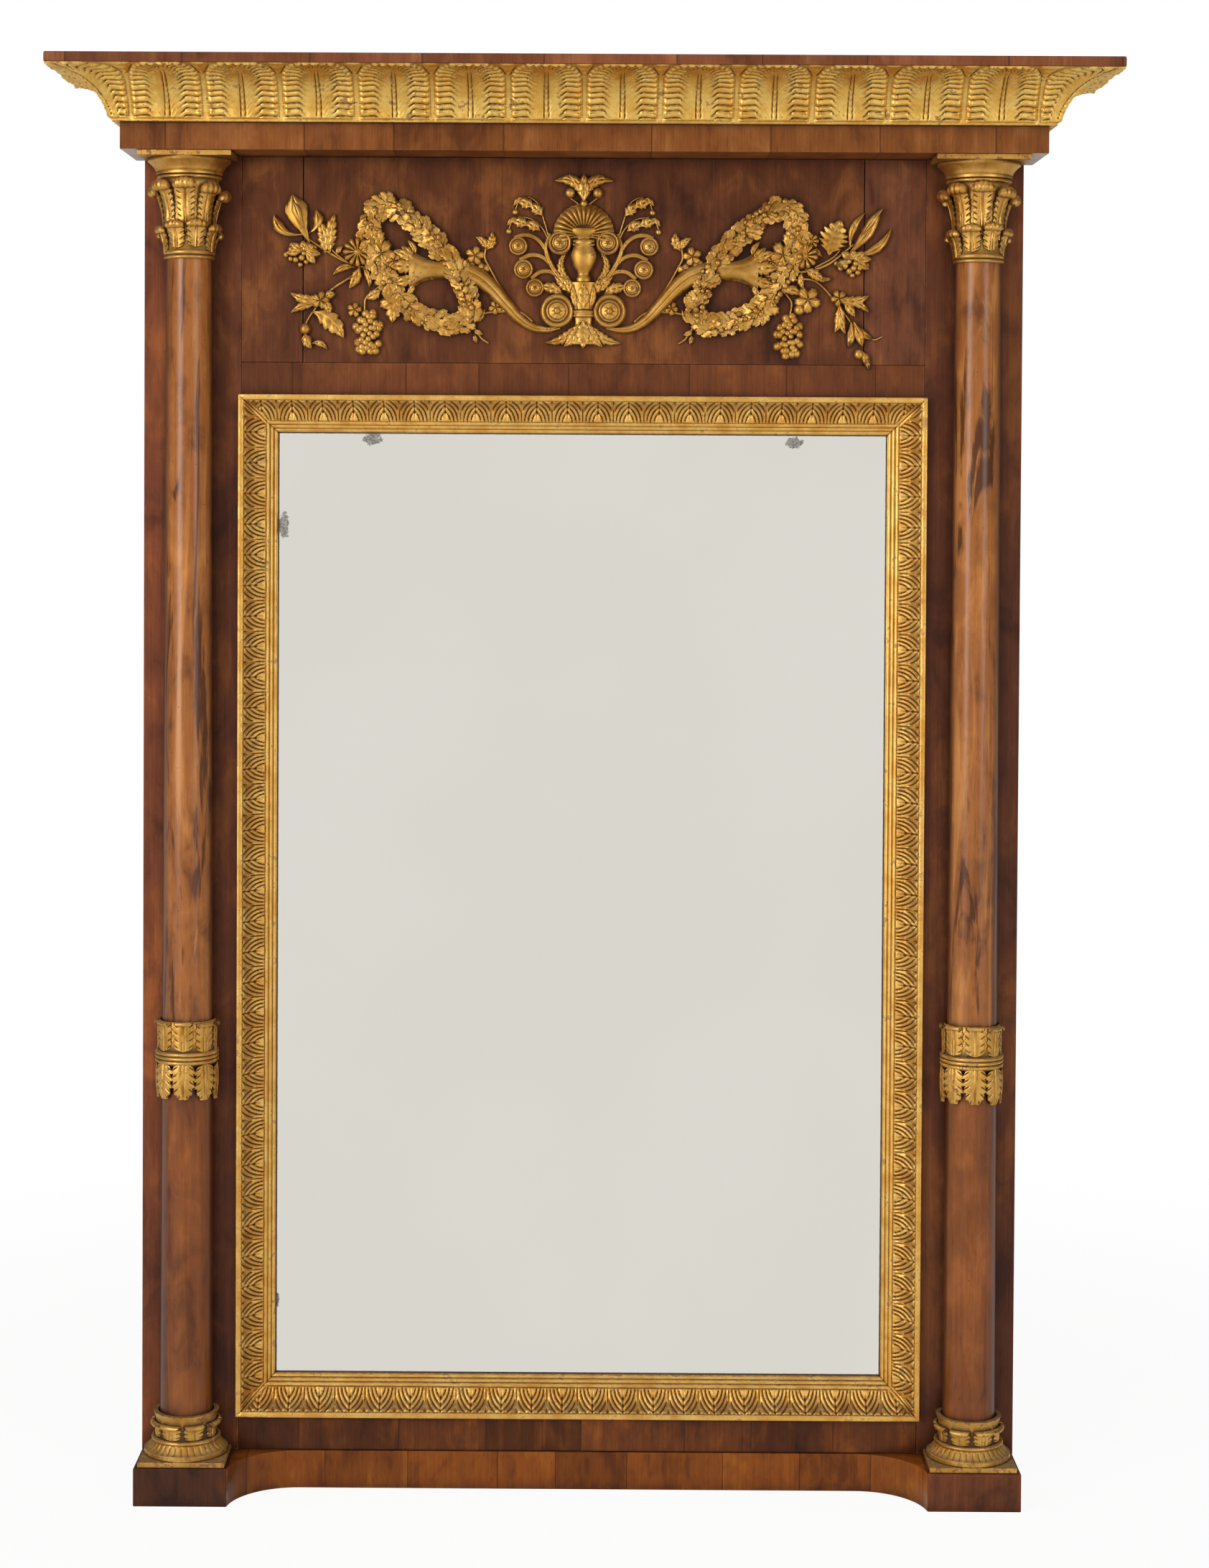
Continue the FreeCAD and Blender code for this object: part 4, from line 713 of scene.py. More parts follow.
def half_round(radius, middle, out, half, first=0.0, last=math.pi, fullness=1.0):
    """A bead's profile: the radius it swells from, its middle's height, its swell and half its height."""
    turns = np.linspace(first, last, 7)
    return [(radius + out * math.sin(turn) ** fullness, middle - half * math.cos(turn)) for turn in turns]


def gadroons(level, swell_rise):
    """The ripple of lobes round a base's swell, which starts at a level."""
    def ripple(profile, angle):
        share = np.clip((profile[:, 1:] - level) / swell_rise, 0, 1)
        window = np.sin(np.pi * share) ** 0.5
        return 0.0013 * window * (np.abs(np.sin(angle * 18))[None, :] ** 0.5 - 0.6)
    return ripple


upright_shape = ((0.0, 0.90), (0.15, 0.96), (0.55, 1.0), (0.72, 0.94), (0.86, 0.84), (1.0, 0.60))
drooping_shape = ((0.0, 0.98), (0.45, 1.0), (0.62, 0.92), (0.78, 0.72), (0.92, 0.42), (1.0, 0.10))


def carve_base(side, axis):
    """Fillet, gadrooned swell, astragal and a leaf collar that takes the foot of the shaft."""
    node = f"column_base_{side}"
    low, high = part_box(node)
    foot = (high.x - low.x) / 2
    collar_rise, fillet_rise, swell_rise = 0.032, 0.0066, 0.0107
    z = low.z
    collar = high.z - collar_rise
    socket = shaft_base_radius + 0.0004
    profile = [(foot - 0.0006, z), (foot, z + 0.0008), (foot, z + 0.0056), (foot - 0.0008, z + fillet_rise)]
    for share in np.linspace(0, 1, 8):
        profile.append((foot - 0.0015 - 0.0095 * share**0.7, z + fillet_rise + swell_rise * share))
    profile += half_round(foot - 0.0118, collar - 0.0025, 0.0026, 0.0025)
    profile += [(foot - 0.0150, collar), (foot - 0.0152, collar + 0.018), (foot - 0.0146, collar + 0.024)]
    profile += [(foot - 0.0128, collar + 0.029), (foot - 0.0116, high.z), (foot - 0.0180, high.z)]
    profile += [(socket, high.z - 0.004), (socket, collar + 0.008)]
    bm = mesh_of([turned(profile, 288, gadroons(z + fillet_rise, swell_rise))], axis)
    spine = [(foot - 0.0152, collar), (foot - 0.0150, collar + 0.008)]
    spine += rolled_tip(foot - 0.0146, collar + 0.0165, 0.0030, 215)
    collar_leaf = ring_leaf(spine, half_leaf * 0.95, 3, 0.16, 0.0014, 0.0008, upright_shape, 0.62)
    ring_of_leaves(bm, collar_leaf, axis, 0.5)
    cut_at_carcass(bm)
    shown_as(f"{node}_carved", bm, column_gilding, [node])


def carve_band(side, axis):
    """Three reeds between a sleeve of upright leaves and a skirt of hanging ones."""
    node = f"column_band_{side}"
    low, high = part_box(node)
    sleeve_rise, reed_rise = 0.040, 0.0053
    sleeve_radius, reed_radius = 0.0368, 0.0385
    sleeve = high.z - sleeve_rise
    profile = [(0.0345, sleeve - 0.018), (0.0372, sleeve - 0.0175)]
    for reed in range(3):
        base = sleeve - 0.0159 + reed_rise * reed
        profile += half_round(reed_radius, base + 0.5 * reed_rise, 0.0026, 0.0025, 0.15, math.pi - 0.15, 0.7)
    profile += [(0.0366, sleeve + 0.001), (sleeve_radius, high.z - 0.004)]
    profile += [(0.0352, high.z - 0.001), (0.0338, high.z - 0.003)]
    bm = mesh_of([turned(profile, 160)], axis)
    spine = [(sleeve_radius, sleeve), (0.0369, sleeve + 0.018)]
    spine += rolled_tip(0.0372, sleeve + 0.0355, 0.0022, 215)
    upright = ring_leaf(spine, half_leaf * 0.95, 4, 0.14, 0.0016, 0.0010, upright_shape, 0.80)
    ring_of_leaves(bm, upright, axis, 0.0)
    skirt = sleeve - 0.0150
    spine = [(0.0375, skirt), (0.0386, skirt - 0.010), (0.0384, skirt - 0.026), (0.0374, skirt - 0.040)]
    spine += [(0.0366, low.z + 0.0004)]
    hanging = ring_leaf(spine, -half_leaf * 1.06, 5, 0.26, 0.0019, 0.0010, drooping_shape)
    ring_of_leaves(bm, hanging, axis, 0.0)
    cut_at_carcass(bm)
    shown_as(f"{node}_carved", bm, column_gilding, [node])


def carve_capital(side, axis):
    """Necking, bell, two rows of leaves whose tips roll over, a ring and a moulded cap."""
    node = f"capital_{side}"
    low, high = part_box(node)
    z = low.z
    necking_radius = 0.0302
    profile = [(0.0295, z)]
    profile += half_round(necking_radius, z + 0.0024, 0.0026, 0.0022, 0.2, 2.9)
    profile += half_round(necking_radius, z + 0.0084, 0.0028, 0.0030, 0.2, 2.9)
    profile += [(0.0305, z + 0.012), (0.0310, z + 0.045), (0.0330, z + 0.075)]
    profile += [(0.0366, z + 0.096), (0.0380, z + 0.1015)]
    profile += half_round(0.0392, z + 0.1050, 0.0028, 0.0026)
    profile += [(0.0424, z + 0.1085), (0.0430, z + 0.1110), (0.0424, z + 0.1126)]
    for share in np.linspace(0, 1, 8):
        profile.append((0.0436 + 0.0100 * share**1.5, z + 0.1140 + 0.0115 * share))
    profile += [(0.0532, high.z - 0.0018), (0.0526, high.z)]
    bm = mesh_of([turned(profile, 160)], axis)
    spine = [(0.0316, z + 0.030), (0.0324, z + 0.050), (0.0346, z + 0.067), (0.0388, z + 0.081)]
    spine += [(0.0430, z + 0.0885), (0.0468, z + 0.0920)]
    upper = ring_leaf(spine, half_leaf * 0.90, 8, 0.16, 0.0019, 0.0014, upright_shape, 0.92, 100)
    ring_of_leaves(bm, upper, axis, 0.0)
    ring_of_leaves(bm, rolled_knob(0.0466, z + 0.0905, 0.0158, 0.0080, 2.5), axis, 0.0)
    spine = [(0.0316, z + 0.0105), (0.0324, z + 0.021), (0.0346, z + 0.031)]
    spine += [(0.0380, z + 0.0385), (0.0402, z + 0.0415)]
    lower = ring_leaf(spine, half_leaf * 0.92, 4, 0.16, 0.0017, 0.0014, upright_shape, 0.90)
    ring_of_leaves(bm, lower, axis, 0.5)
    ring_of_leaves(bm, rolled_knob(0.0400, z + 0.0405, 0.0146, 0.0056, 2.5), axis, 0.5)
    cut_at_carcass(bm)
    shown_as(f"{node}_carved", bm, column_gilding, [node])


slab_eased = 0.0009
for side, sign in (("left", -1), ("right", 1)):
    axis = Vector((sign * column_x, column_y, 0.0))
    carve_base(side, axis)
    carve_band(side, axis)
    carve_capital(side, axis)
    for node in (f"base_slab_{side}", f"abacus_{side}"):
        eased_copy(node, slab_eased, column_gilding)


# Entablature
# A cross-banded architrave lies on the carcass and abaci; a gilt cove of leaves is mitred round it, glued.
# A thin walnut board covers the top, and its moulded front edge stands just proud of the gilding.
entablature_tones = ((94, 52, 26), (124, 72, 33), (145, 91, 46))
top_tones = ((84, 46, 28), (116, 66, 40), (140, 86, 54))
# the architrave's overhang carries a pale grey painted reflection of the white floor on its underside
architrave_finish = polished(
    "architrave_veneer", entablature_tones, (0.8, 0.5, 0.2), 7.0, 60.0, 0.150, uneven=0.07, painted_floor_light_below=True)
top_finish = polished("top_board_walnut", top_tones, (0.3, 1.2, 0.4), 6.0, 60.0, 0.140, 0.010)
eased_copy("architrave", 0.0010, architrave_finish)
eased_copy("cornice_top_board", 0.0022, top_finish)


def carved_run(profile, normals, lift, marks, low_end, high_end):
    """A closed moulding run along its length; low_end and high_end say where each profile point is cut."""
    first, last = low_end(profile)[:, None], high_end(profile)[:, None]
    along = np.clip(marks[None, :], first, last)
    rise = lift(along)
    points = profile[:, None, :] + normals[:, None, :] * rise[..., None]
    along = np.where(marks[None, :] <= first, low_end(points), along)
    along = np.where(marks[None, :] >= last, high_end(points), along)
    rows, cols = along.shape
    faces = grid_faces(rows, cols, wrap_rows=True)
    faces.append(tuple(row * cols for row in range(rows)))
    faces.append(tuple(row * cols + cols - 1 for row in range(rows)))
    return along, points, faces


cove_low, cove_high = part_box("cove_front")
wall_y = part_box("cove_return_right")[1].y
cove_foot_rise = 0.003
cove_foot_width = 0.5995
cove_top_depth = wall_y - cove_low.y
cove_foot_depth = cove_top_depth - (cove_high.x - cove_foot_width)
cove_back_depth = wall_y - cove_high.y
cove_run = cove_top_depth - cove_foot_depth
cove_climb = cove_high.z - cove_low.z - cove_foot_rise
cove_radius = (cove_run**2 + cove_climb**2) / (2 * cove_climb)
cove_centre_z = cove_high.z - cove_radius
cove_start = math.asin((cove_low.z + cove_foot_rise - cove_centre_z) / cove_radius)
cove_girth = cove_radius * (math.pi / 2 - cove_start)
cove_leaf_width = 0.096
cove_corner_share = 0.0235


def cove_leaf(across, up):
    """Height of one cove leaf: across in leaf widths from its rib, up from its foot to the board."""
    x = np.abs(across) * cove_leaf_width
    z = up * cove_girth
    half, shoulder, crown = 0.0345, 0.056, 0.045
    stations = 48
    arc = np.linspace(0, math.pi / 2, stations)
    border_x = np.concatenate([np.full(stations, half), half * np.cos(arc[1:])])
    border_z = np.concatenate([np.linspace(-0.004, shoulder, stations), shoulder + crown * np.sin(arc[1:])])
    length = np.concatenate([[0], np.cumsum(np.hypot(np.diff(border_x), np.diff(border_z)))])
    gap = np.full(x.shape, 1.0)
    travel = np.zeros(x.shape)
    for place in range(len(length)):
        away = np.hypot(x - border_x[place], z - border_z[place])
        closer = away < gap
        gap = np.where(closer, away, gap)
        travel = np.where(closer, length[place], travel)
    outside = np.where(z < shoulder, x > half, (x / half) ** 2 + ((z - shoulder) / crown) ** 2 > 1)
    off = np.where(outside, gap, -gap)
    wide, pitch = 0.0098, 0.0084
    into = np.clip(-off - wide, 0, None)
    step = (travel + 0.10 * off + 0.75 * into + 30.0 * into**2) / pitch
    bar = np.abs(np.sin(math.pi * step)) ** 0.55
    end = np.sqrt(1 - np.clip((off - 0.0054) / 0.0046, 0, 1) ** 2)
    border = (0.0003 + 0.0029 * bar) * end + 0.0010 * bar * np.exp(-(((off - 0.0060) / 0.0026) ** 2))
    fade = np.clip(1 - into / 0.0125, 0, 1)
    groove = np.exp(-((np.abs(step - np.round(step)) * pitch / 0.0011) ** 2))
    field = 0.0029 + 0.0005 * np.clip(into / 0.010, 0, 1) - 0.0027 * groove * fade**0.7
    field = field + 0.00022 * np.cos(2 * math.pi * step) * (1 - fade)
    apart = 0.0032 - 0.0018 * up
    midrib = 0.0007 * np.exp(-((x / 0.0012) ** 2)) - 0.0019 * np.exp(-(((x - apart) / 0.0010) ** 2))
    field = field + midrib * np.clip((0.088 - z) / 0.02, 0, 1)
    height = np.where(off < -wide, field, border)
    side = 0.5 * cove_leaf_width - x
    bud_foot = 0.66
    bud_width = 0.0105 * np.clip((up - bud_foot) / 0.26, 0, 1) ** 0.6 + 1e-6
    beads = 0.0022 + 0.0006 * np.cos(2 * math.pi * (up - bud_foot) / 0.14)
    bud = np.clip(1 - (side / bud_width) ** 2, 0, 1) ** 0.5 * beads
    height = np.maximum(height, np.where(off > 0.0085, bud * (up > bud_foot), 0.0))
    return height * np.clip(up / 0.015, 0, 1) * np.clip((1.0 - up) / 0.012, 0, 1)


def cove_lift(inward, up, depth):
    """The carving at a distance in from the foot's corner; the corner leaf has the mitre for its rib."""
    mitre = -(depth - cove_foot_depth)
    corner = 0.5 * (inward - mitre) / (cove_corner_share - mitre)
    along = ((inward - cove_corner_share) / cove_leaf_width) % 1.0 - 0.5
    return cove_leaf(np.where(inward < cove_corner_share, np.clip(corner, 0, 0.5), along), up)


cove_rows = 88
sweep = np.linspace(cove_start, math.pi / 2, cove_rows)
cove_arc = np.stack(
    [cove_top_depth - cove_radius * np.cos(sweep), cove_centre_z + cove_radius * np.sin(sweep)], -1)
cove_foot = [(cove_back_depth, cove_low.z), (cove_foot_depth, cove_low.z)]
cove_profile = np.vstack([cove_foot, cove_arc, [(cove_back_depth, cove_high.z)]])
cove_normals = np.vstack([np.zeros((2, 2)), np.stack([np.cos(sweep), -np.sin(sweep)], -1), np.zeros((1, 2))])
cove_up = np.concatenate([[0, 0], (sweep - cove_start) / (math.pi / 2 - cove_start), [1]])[:, None]
cove_gilding = gilded("cove_gilding", (252, 212, 118), (234, 182, 88), 0.0080, 0.75, (0.1, 0.5, 0.2))
cove_grain = 0.00138


def front_lift(along):
    return cove_lift(cove_foot_width - np.abs(along), cove_up, cove_profile[:, :1])


def front_end(points):
    return cove_foot_width + points[..., 0] - cove_foot_depth


def front_start(points):
    return -front_end(points)


def return_lift(along):
    return cove_lift(along - wall_y + cove_foot_depth, cove_up, cove_profile[:, :1])


def return_start(points):
    return wall_y - points[..., 0]


def return_end(points):
    return np.full(points.shape[:-1], wall_y)


def carved_piece(node, spots, faces, gilding):
    """A run of carved moulding from its grid of points, shown for its node."""
    bm = mesh_of([(spots.reshape(-1, 3), faces)])
    shown_as(f"{node}_carved", bm, gilding, [node], crease=60.0)


front_marks = np.linspace(-cove_high.x, cove_high.x, int(2 * cove_high.x / cove_grain) | 1)
along, points, faces = carved_run(
    cove_profile, cove_normals, front_lift, front_marks, front_start, front_end)
spots = np.stack([along, wall_y - points[..., 0], points[..., 1]], -1)
carved_piece("cove_front", spots, faces, cove_gilding)

return_marks = np.linspace(cove_low.y, wall_y, int(cove_top_depth / cove_grain))
along, points, faces = carved_run(
    cove_profile, cove_normals, return_lift, return_marks, return_start, return_end)
outward = points[..., 0] + cove_foot_width - cove_foot_depth
for side, sign in (("left", -1), ("right", 1)):
    spots = np.stack([sign * outward, along, points[..., 1]], -1)
    carved_piece(f"cove_return_{side}", spots, faces, cove_gilding)


# Sight moulding and plate
# Four lengths of pine moulding, carved with lotus above three reeds, mitred, nailed and water gilded.
# They hold an old tin-backed plate whose silvering has flaked in a few places near the edge.
sight_low, sight_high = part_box("moulding_left")
top_low, top_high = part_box("moulding_top")
moulding_width = top_high.z - top_low.z
moulding_front = wall_y - top_low.y
moulding_back = wall_y - top_high.y
plate_front = wall_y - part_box("mirror_plate")[0].y
opening_lap = 0.003
carcass_depth = wall_y - face_y
fillet_width, shoulder_drop = 0.007, 0.0025
scoop_width, scoop_drop, scoop_sag = 0.027, 0.024, 0.0045
reed_width = moulding_width - fillet_width - scoop_width
reed_drop = moulding_front - shoulder_drop - scoop_drop - plate_front - 0.003
lotus_pitch = 0.040

scoop_share = np.linspace(0, 1, 42)
chord = np.array([scoop_width, -scoop_drop])
square_on = np.array([-scoop_drop, -scoop_width]) / np.hypot(scoop_width, scoop_drop)
scoop_start = np.array([fillet_width, moulding_front - shoulder_drop])
sag = 4 * scoop_share * (1 - scoop_share) * scoop_sag
scoop = scoop_start + scoop_share[:, None] * chord + sag[:, None] * square_on
bend = chord + (4 * (1 - 2 * scoop_share) * scoop_sag)[:, None] * square_on
scoop_normals = np.stack([-bend[:, 1], bend[:, 0]], -1) / np.linalg.norm(bend, axis=1)[:, None]
reed_share = np.linspace(0, 1, 28)
reed_line = scoop[-1] + reed_share[:, None] * np.array([reed_width, -reed_drop])
reed_normal = np.array([reed_drop, reed_width]) / np.hypot(reed_width, reed_drop)
reed_swell = 0.0017 * np.abs(np.sin(3 * math.pi * reed_share)) ** 0.6
reeds = reed_line + reed_swell[:, None] * reed_normal
arris = 0.0006
fillet_edge = [(fillet_width - arris, moulding_front), (fillet_width, moulding_front - arris)]
outer = [(opening_lap, moulding_back), (opening_lap, carcass_depth), (0, carcass_depth)]
outer += [(0, moulding_front - 0.0008), (0.0003, moulding_front - 0.0002), (0.0010, moulding_front)]
rebate = moulding_width - 0.013
inner = [(moulding_width, plate_front), (rebate, plate_front), (rebate, moulding_back)]
moulding_profile = np.vstack([outer, fillet_edge, scoop, reeds[1:], inner])
carved_from = len(outer) + len(fillet_edge)
moulding_normals = np.zeros(moulding_profile.shape)
moulding_normals[carved_from:carved_from + len(scoop)] = scoop_normals
moulding_normals[len(outer) - 1:carved_from] = (0, 1)
moulding_normals[carved_from + len(scoop):-len(inner)] = reed_normal
scoop_rows = np.zeros(len(moulding_profile), bool)
scoop_rows[carved_from + 1:carved_from + len(scoop) - 1] = True
toward_tip = np.zeros(len(moulding_profile))
toward_tip[carved_from:carved_from + len(scoop)] = 1 - scoop_share


def lotus(across, up):
    """Height of one lotus: pointed petals nested over a small middle leaf, with reeds between neighbours.

    Each point lies on one pointed arch, whose size is found by halving; petals end at set arch sizes."""
    petal_ends = (0.0, 0.34, 0.60, 0.86, 1.12, 1.50)
    petal_height, split_depth, reed_height = 0.0030, 0.0024, 0.0022
    arch_half, arch_rise = 0.47, 0.97
    reed_pitch, split_width = 0.075, 0.030
    least = np.full(across.shape, 0.01)
    most = np.full(across.shape, 3.0)
    for halving in range(18):
        arch = 0.5 * (least + most)
        short = (np.abs(across) / arch_half / arch) ** 1.5 + (arch_rise * up / arch) ** 1.7 > 1
        least = np.where(short, arch, least)
        most = np.where(short, most, arch)
    petal = np.interp(arch, petal_ends, range(len(petal_ends)))
    height = petal_height * (0.5 - 0.5 * np.cos(2 * math.pi * petal)) ** 0.50
    middle = petal_height * np.clip(1 - (arch / petal_ends[1]) ** 5, 0, 1) ** 0.6
    height = np.where(arch < petal_ends[1], middle, height)
    split = np.exp(-((across / split_width) ** 2))
    height = height - split_depth * split * np.clip((arch - 0.05) / 0.25, 0, 1)
    reed = (0.5 - 0.5 * np.cos(2 * math.pi * (np.abs(across) - 0.5) / reed_pitch)) ** 0.6
    between = np.clip((np.abs(across) - 0.42) / 0.05, 0, 1) * np.clip((0.75 - up) / 0.3, 0, 1)
    height = height * (1 - between) + between * reed_height * reed
    return height * np.clip(up / 0.03, 0, 1) * np.clip((1 - up) / 0.05, 0, 1) ** 0.5


def wandering(place):
    """A smooth wandering value along a length, between nought and one."""
    waves = ((0.25, 7.1, 0.0), (0.15, 17.3, 1.0), (0.10, 41.7, 2.0))
    return 0.5 + sum(share * np.sin(place * rate + start) for share, rate, start in waves)


def sight_lift(outer_half, pitch):
    """Carving along one side, stopping at a plain strip beside each mitre."""
    def lift(along):
        strip = (outer_half - moulding_profile[:, :1] - np.abs(along)) / math.sqrt(2)
        carved = np.clip((strip - 0.0038) / 0.0014, 0, 1)
        plain_strip = 0.0012 * np.clip(1 - (np.abs(strip - 0.0018) / 0.0021) ** 2, 0, 1) ** 0.5
        bite = wandering(along * 37.0) * wandering(along * 11.0 + 3.0)
        worn = -0.0007 * np.clip(bite - 0.42, 0, 1)
        leaves = lotus((along / pitch) % 1.0 - 0.5, toward_tip[:, None])
        rows = scoop_rows[:, None]
        return np.where(rows, carved * leaves + plain_strip, worn) - 0.0005 * (strip < 1e-5)
    return lift


sight_gilding = gilded("sight_gilding", (255, 208, 116), (232, 174, 84), 0.0054, 0.55, (0.7, 0.9, 0.4))
outer_width = top_high.x
outer_height = (sight_high.z - sight_low.z) / 2
sight_middle = (sight_high.z + sight_low.z) / 2


def hollow_shade_and_dirt(material):
    """Painted shade with old grime and toned size in the hollow beside the outer fillet, for the cavetto's
    shadow.
    """
    tree, surface, place, before = reopened(material)
    sideways = maths(tree, "SUBTRACT", outer_width, maths(tree, "ABSOLUTE", axis_of(tree, place, 0)))
    off_middle = maths(tree, "ABSOLUTE", maths(tree, "SUBTRACT", axis_of(tree, place, 2), sight_middle))
    inset = maths(tree, "MINIMUM", sideways, maths(tree, "SUBTRACT", outer_height, off_middle))
    # painted shade: a band beside the outer fillet darkens, for the cavetto's shadow and the old grime there
    shade_and_dirt = maths(tree, "MULTIPLY", spread(tree, inset, 0.0068, 0.0076), spread(tree, inset, 0.022, 0.008))
    patchy = spread(tree, noise(tree, place, 60.0, 4.0, 0.6), 0.3, 0.6, 0.18, 0.46)
    shade_and_dirt = maths(tree, "MULTIPLY", shade_and_dirt, patchy)
    tree.links.new(mixed(tree, shade_and_dirt, before, tone(104, 60, 20)), surface.inputs["Base Color"])


# painted shade and grime in the sight moulding's hollow
hollow_shade_and_dirt(sight_gilding)
sight_grain = 0.00105


def mitred_length(outer_half):
    """One side of the moulding: places along it, its profile points as (inward, forward), and its faces."""
    carved_span = 2 * (outer_half - 0.6 * moulding_width)
    pitch = carved_span / round(carved_span / lotus_pitch)
    marks = np.linspace(-outer_half, outer_half, int(2 * outer_half / sight_grain) | 1)

    def start(points):
        return points[..., 0] - outer_half

    def end(points):
        return outer_half - points[..., 0]

    along, points, faces = carved_run(
        moulding_profile, moulding_normals, sight_lift(outer_half, pitch), marks, start, end)
    return along, points[..., 0], wall_y - points[..., 1], faces


along, inward, y, faces = mitred_length(outer_width)
for node, z in (("moulding_top", sight_high.z - inward), ("moulding_bottom", sight_low.z + inward)):
    carved_piece(node, np.stack([along, y, z], -1), faces, sight_gilding)
along, inward, y, faces = mitred_length(outer_height)
for node, x in (("moulding_left", inward - outer_width), ("moulding_right", outer_width - inward)):
    carved_piece(node, np.stack([x, y, along + sight_middle], -1), faces, sight_gilding)


def silvered(name, flaws, half_width, foot, head):
    """Old plate: tin silvering with a grey cast and flaked patches given as (x, z, width, height).

    It is painted dark along the edge of the opening, as painted shade from the rebate and as tarnished
    silvering; the opening has a half width, a foot and a head."""
    material, tree, surface, place = new_finish(name)
    ragged = noise(tree, place, 160.0, 6.0, 0.75)
    lacework = noise(tree, place, 420.0, 4.0, 0.7)
    lost = None
    for x, z, width, height in flaws:
        away = vectors(tree, "SUBTRACT", place, (x, 0.0, z))
        away = vectors(tree, "MULTIPLY", away, (2.0 / width, 0.0, 2.0 / height))
        far = vectors(tree, "LENGTH", away)
        uneven = maths(tree, "ADD", far, maths(tree, "MULTIPLY", maths(tree, "SUBTRACT", ragged, 0.5), 2.6))
        patch = spread(tree, uneven, 1.02, 0.92)
        lost = patch if lost is None else maths(tree, "MAXIMUM", lost, patch)
    clouds = noise(tree, place, 2.2, 3.0, 0.5)
    clouds = spread(tree, clouds, 0.35, 0.65)
    silver = mixed(tree, clouds, (0.932, 0.905, 0.827, 1.0), (0.960, 0.932, 0.858, 1.0))
    dull = mixed(tree, spread(tree, lacework, 0.40, 0.60), tone(104, 102, 96), tone(150, 148, 142))
    level = axis_of(tree, place, 2)
    inset = maths(tree, "SUBTRACT", half_width, maths(tree, "ABSOLUTE", axis_of(tree, place, 0)))
    inset = maths(tree, "MINIMUM", inset, maths(tree, "SUBTRACT", level, foot))
    inset = maths(tree, "MINIMUM", inset, maths(tree, "SUBTRACT", head, level))
    inset = maths(tree, "SUBTRACT", inset, maths(tree, "MULTIPLY", ragged, 0.001))
    # painted shade: a dark band along the edge of the opening for the rebate's shadow, with tarnished
    # silvering
    edge_shade_and_tarnish = spread(tree, inset, 0.0018, 0.0008)
    colour = mixed(tree, lost, silver, dull)
    tree.links.new(mixed(tree, edge_shade_and_tarnish, colour, tone(74, 64, 54)), surface.inputs["Base Color"])
    lost = maths(tree, "MAXIMUM", lost, maths(tree, "MULTIPLY", edge_shade_and_tarnish, 0.8))
    tree.links.new(maths(tree, "SUBTRACT", 1.0, lost), surface.inputs["Metallic"])
    tree.links.new(spread(tree, lost, 0.0, 1.0, 0.02, 0.55), surface.inputs["Roughness"])
    return material


plate_eased = 0.0005
opening_half = outer_width - moulding_width
plate_flaws = (
    (-0.276, 1.374, 0.025, 0.017), (0.278, 1.371, 0.022, 0.015), (-0.391, 1.259, 0.013, 0.035),
    (-0.398, 0.238, 0.008, 0.020))
silvering = silvered("old_silvering", plate_flaws, opening_half, sight_low.z + moulding_width, top_low.z)
eased_copy("mirror_plate", plate_eased, silvering, 10.0)


# Frieze ornament
# A vase under a shell, two horns of plenty drawn through wreaths, and sprays of fruit and flowers.
# All is pressed composition on thin wood, water gilded and fixed to the frieze with glue and hidden pins.
frieze_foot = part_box("frieze_board_centre")[0].z
ornament_gilding = gilded("ornament_gilding", (228, 180, 96), (196, 142, 62), 0.0070, 0.75, (0.2, 0.6, 0.9))


def on_frieze(points):
    """Points given as (x, z, height) in millimetres, placed on the frieze."""
    x, z, height = points.T
    return np.stack([x, 1000 * face_y - height, z + 1000 * frieze_foot], -1) / 1000


def raised(plan, lift):
    """A relief with a flat back, from a grid of (x, z) in millimetres and its height at each point."""
    rows, cols = lift.shape
    front = on_frieze(np.concatenate([plan, lift[..., None]], -1).reshape(-1, 3))
    back = front.reshape(rows, cols, 3)[:, (0, -1)].reshape(-1, 3).copy()
    back[:, 1] = face_y
    start = rows * cols
    faces = grid_faces(rows, cols)
    for row in range(rows - 1):
        left, right = start + 2 * row, start + 2 * row + 1
        faces.append((row * cols, (row + 1) * cols, left + 2, left))
        faces.append(((row + 1) * cols - 1, right, right + 2, (row + 2) * cols - 1))
        faces.append((left, left + 2, right + 2, right))
    faces.append(tuple(range(cols)) + (start + 1, start))
    faces.append(tuple(range((rows - 1) * cols, rows * cols)) + (start + 2 * rows - 1, start + 2 * rows - 2))
    return np.concatenate([front, back]), faces


def raised_round(centre, outline, lift):
    """A round relief: outline is the radius at each spoke, lift the height from the middle outward."""
    rows, cols = lift.shape
    turn = np.linspace(0, 2 * math.pi, cols, endpoint=False)
    share = np.linspace(0, 1, rows)[:, None]
    x = centre[0] + share * outline * np.sin(turn)
    z = centre[1] + share * outline * np.cos(turn)
    front = on_frieze(np.stack([x, z, lift], -1).reshape(-1, 3))
    back = front[-cols:].copy()
    back[:, 1] = face_y
    start = rows * cols
    faces = grid_faces(rows, cols, wrap_cols=True)
    for col in range(cols):
        following = (col + 1) % cols
        faces.append((start - cols + col, start - cols + following, start + following, start + col))
    return np.concatenate([front, back]), faces + [tuple(range(start, start + cols))]


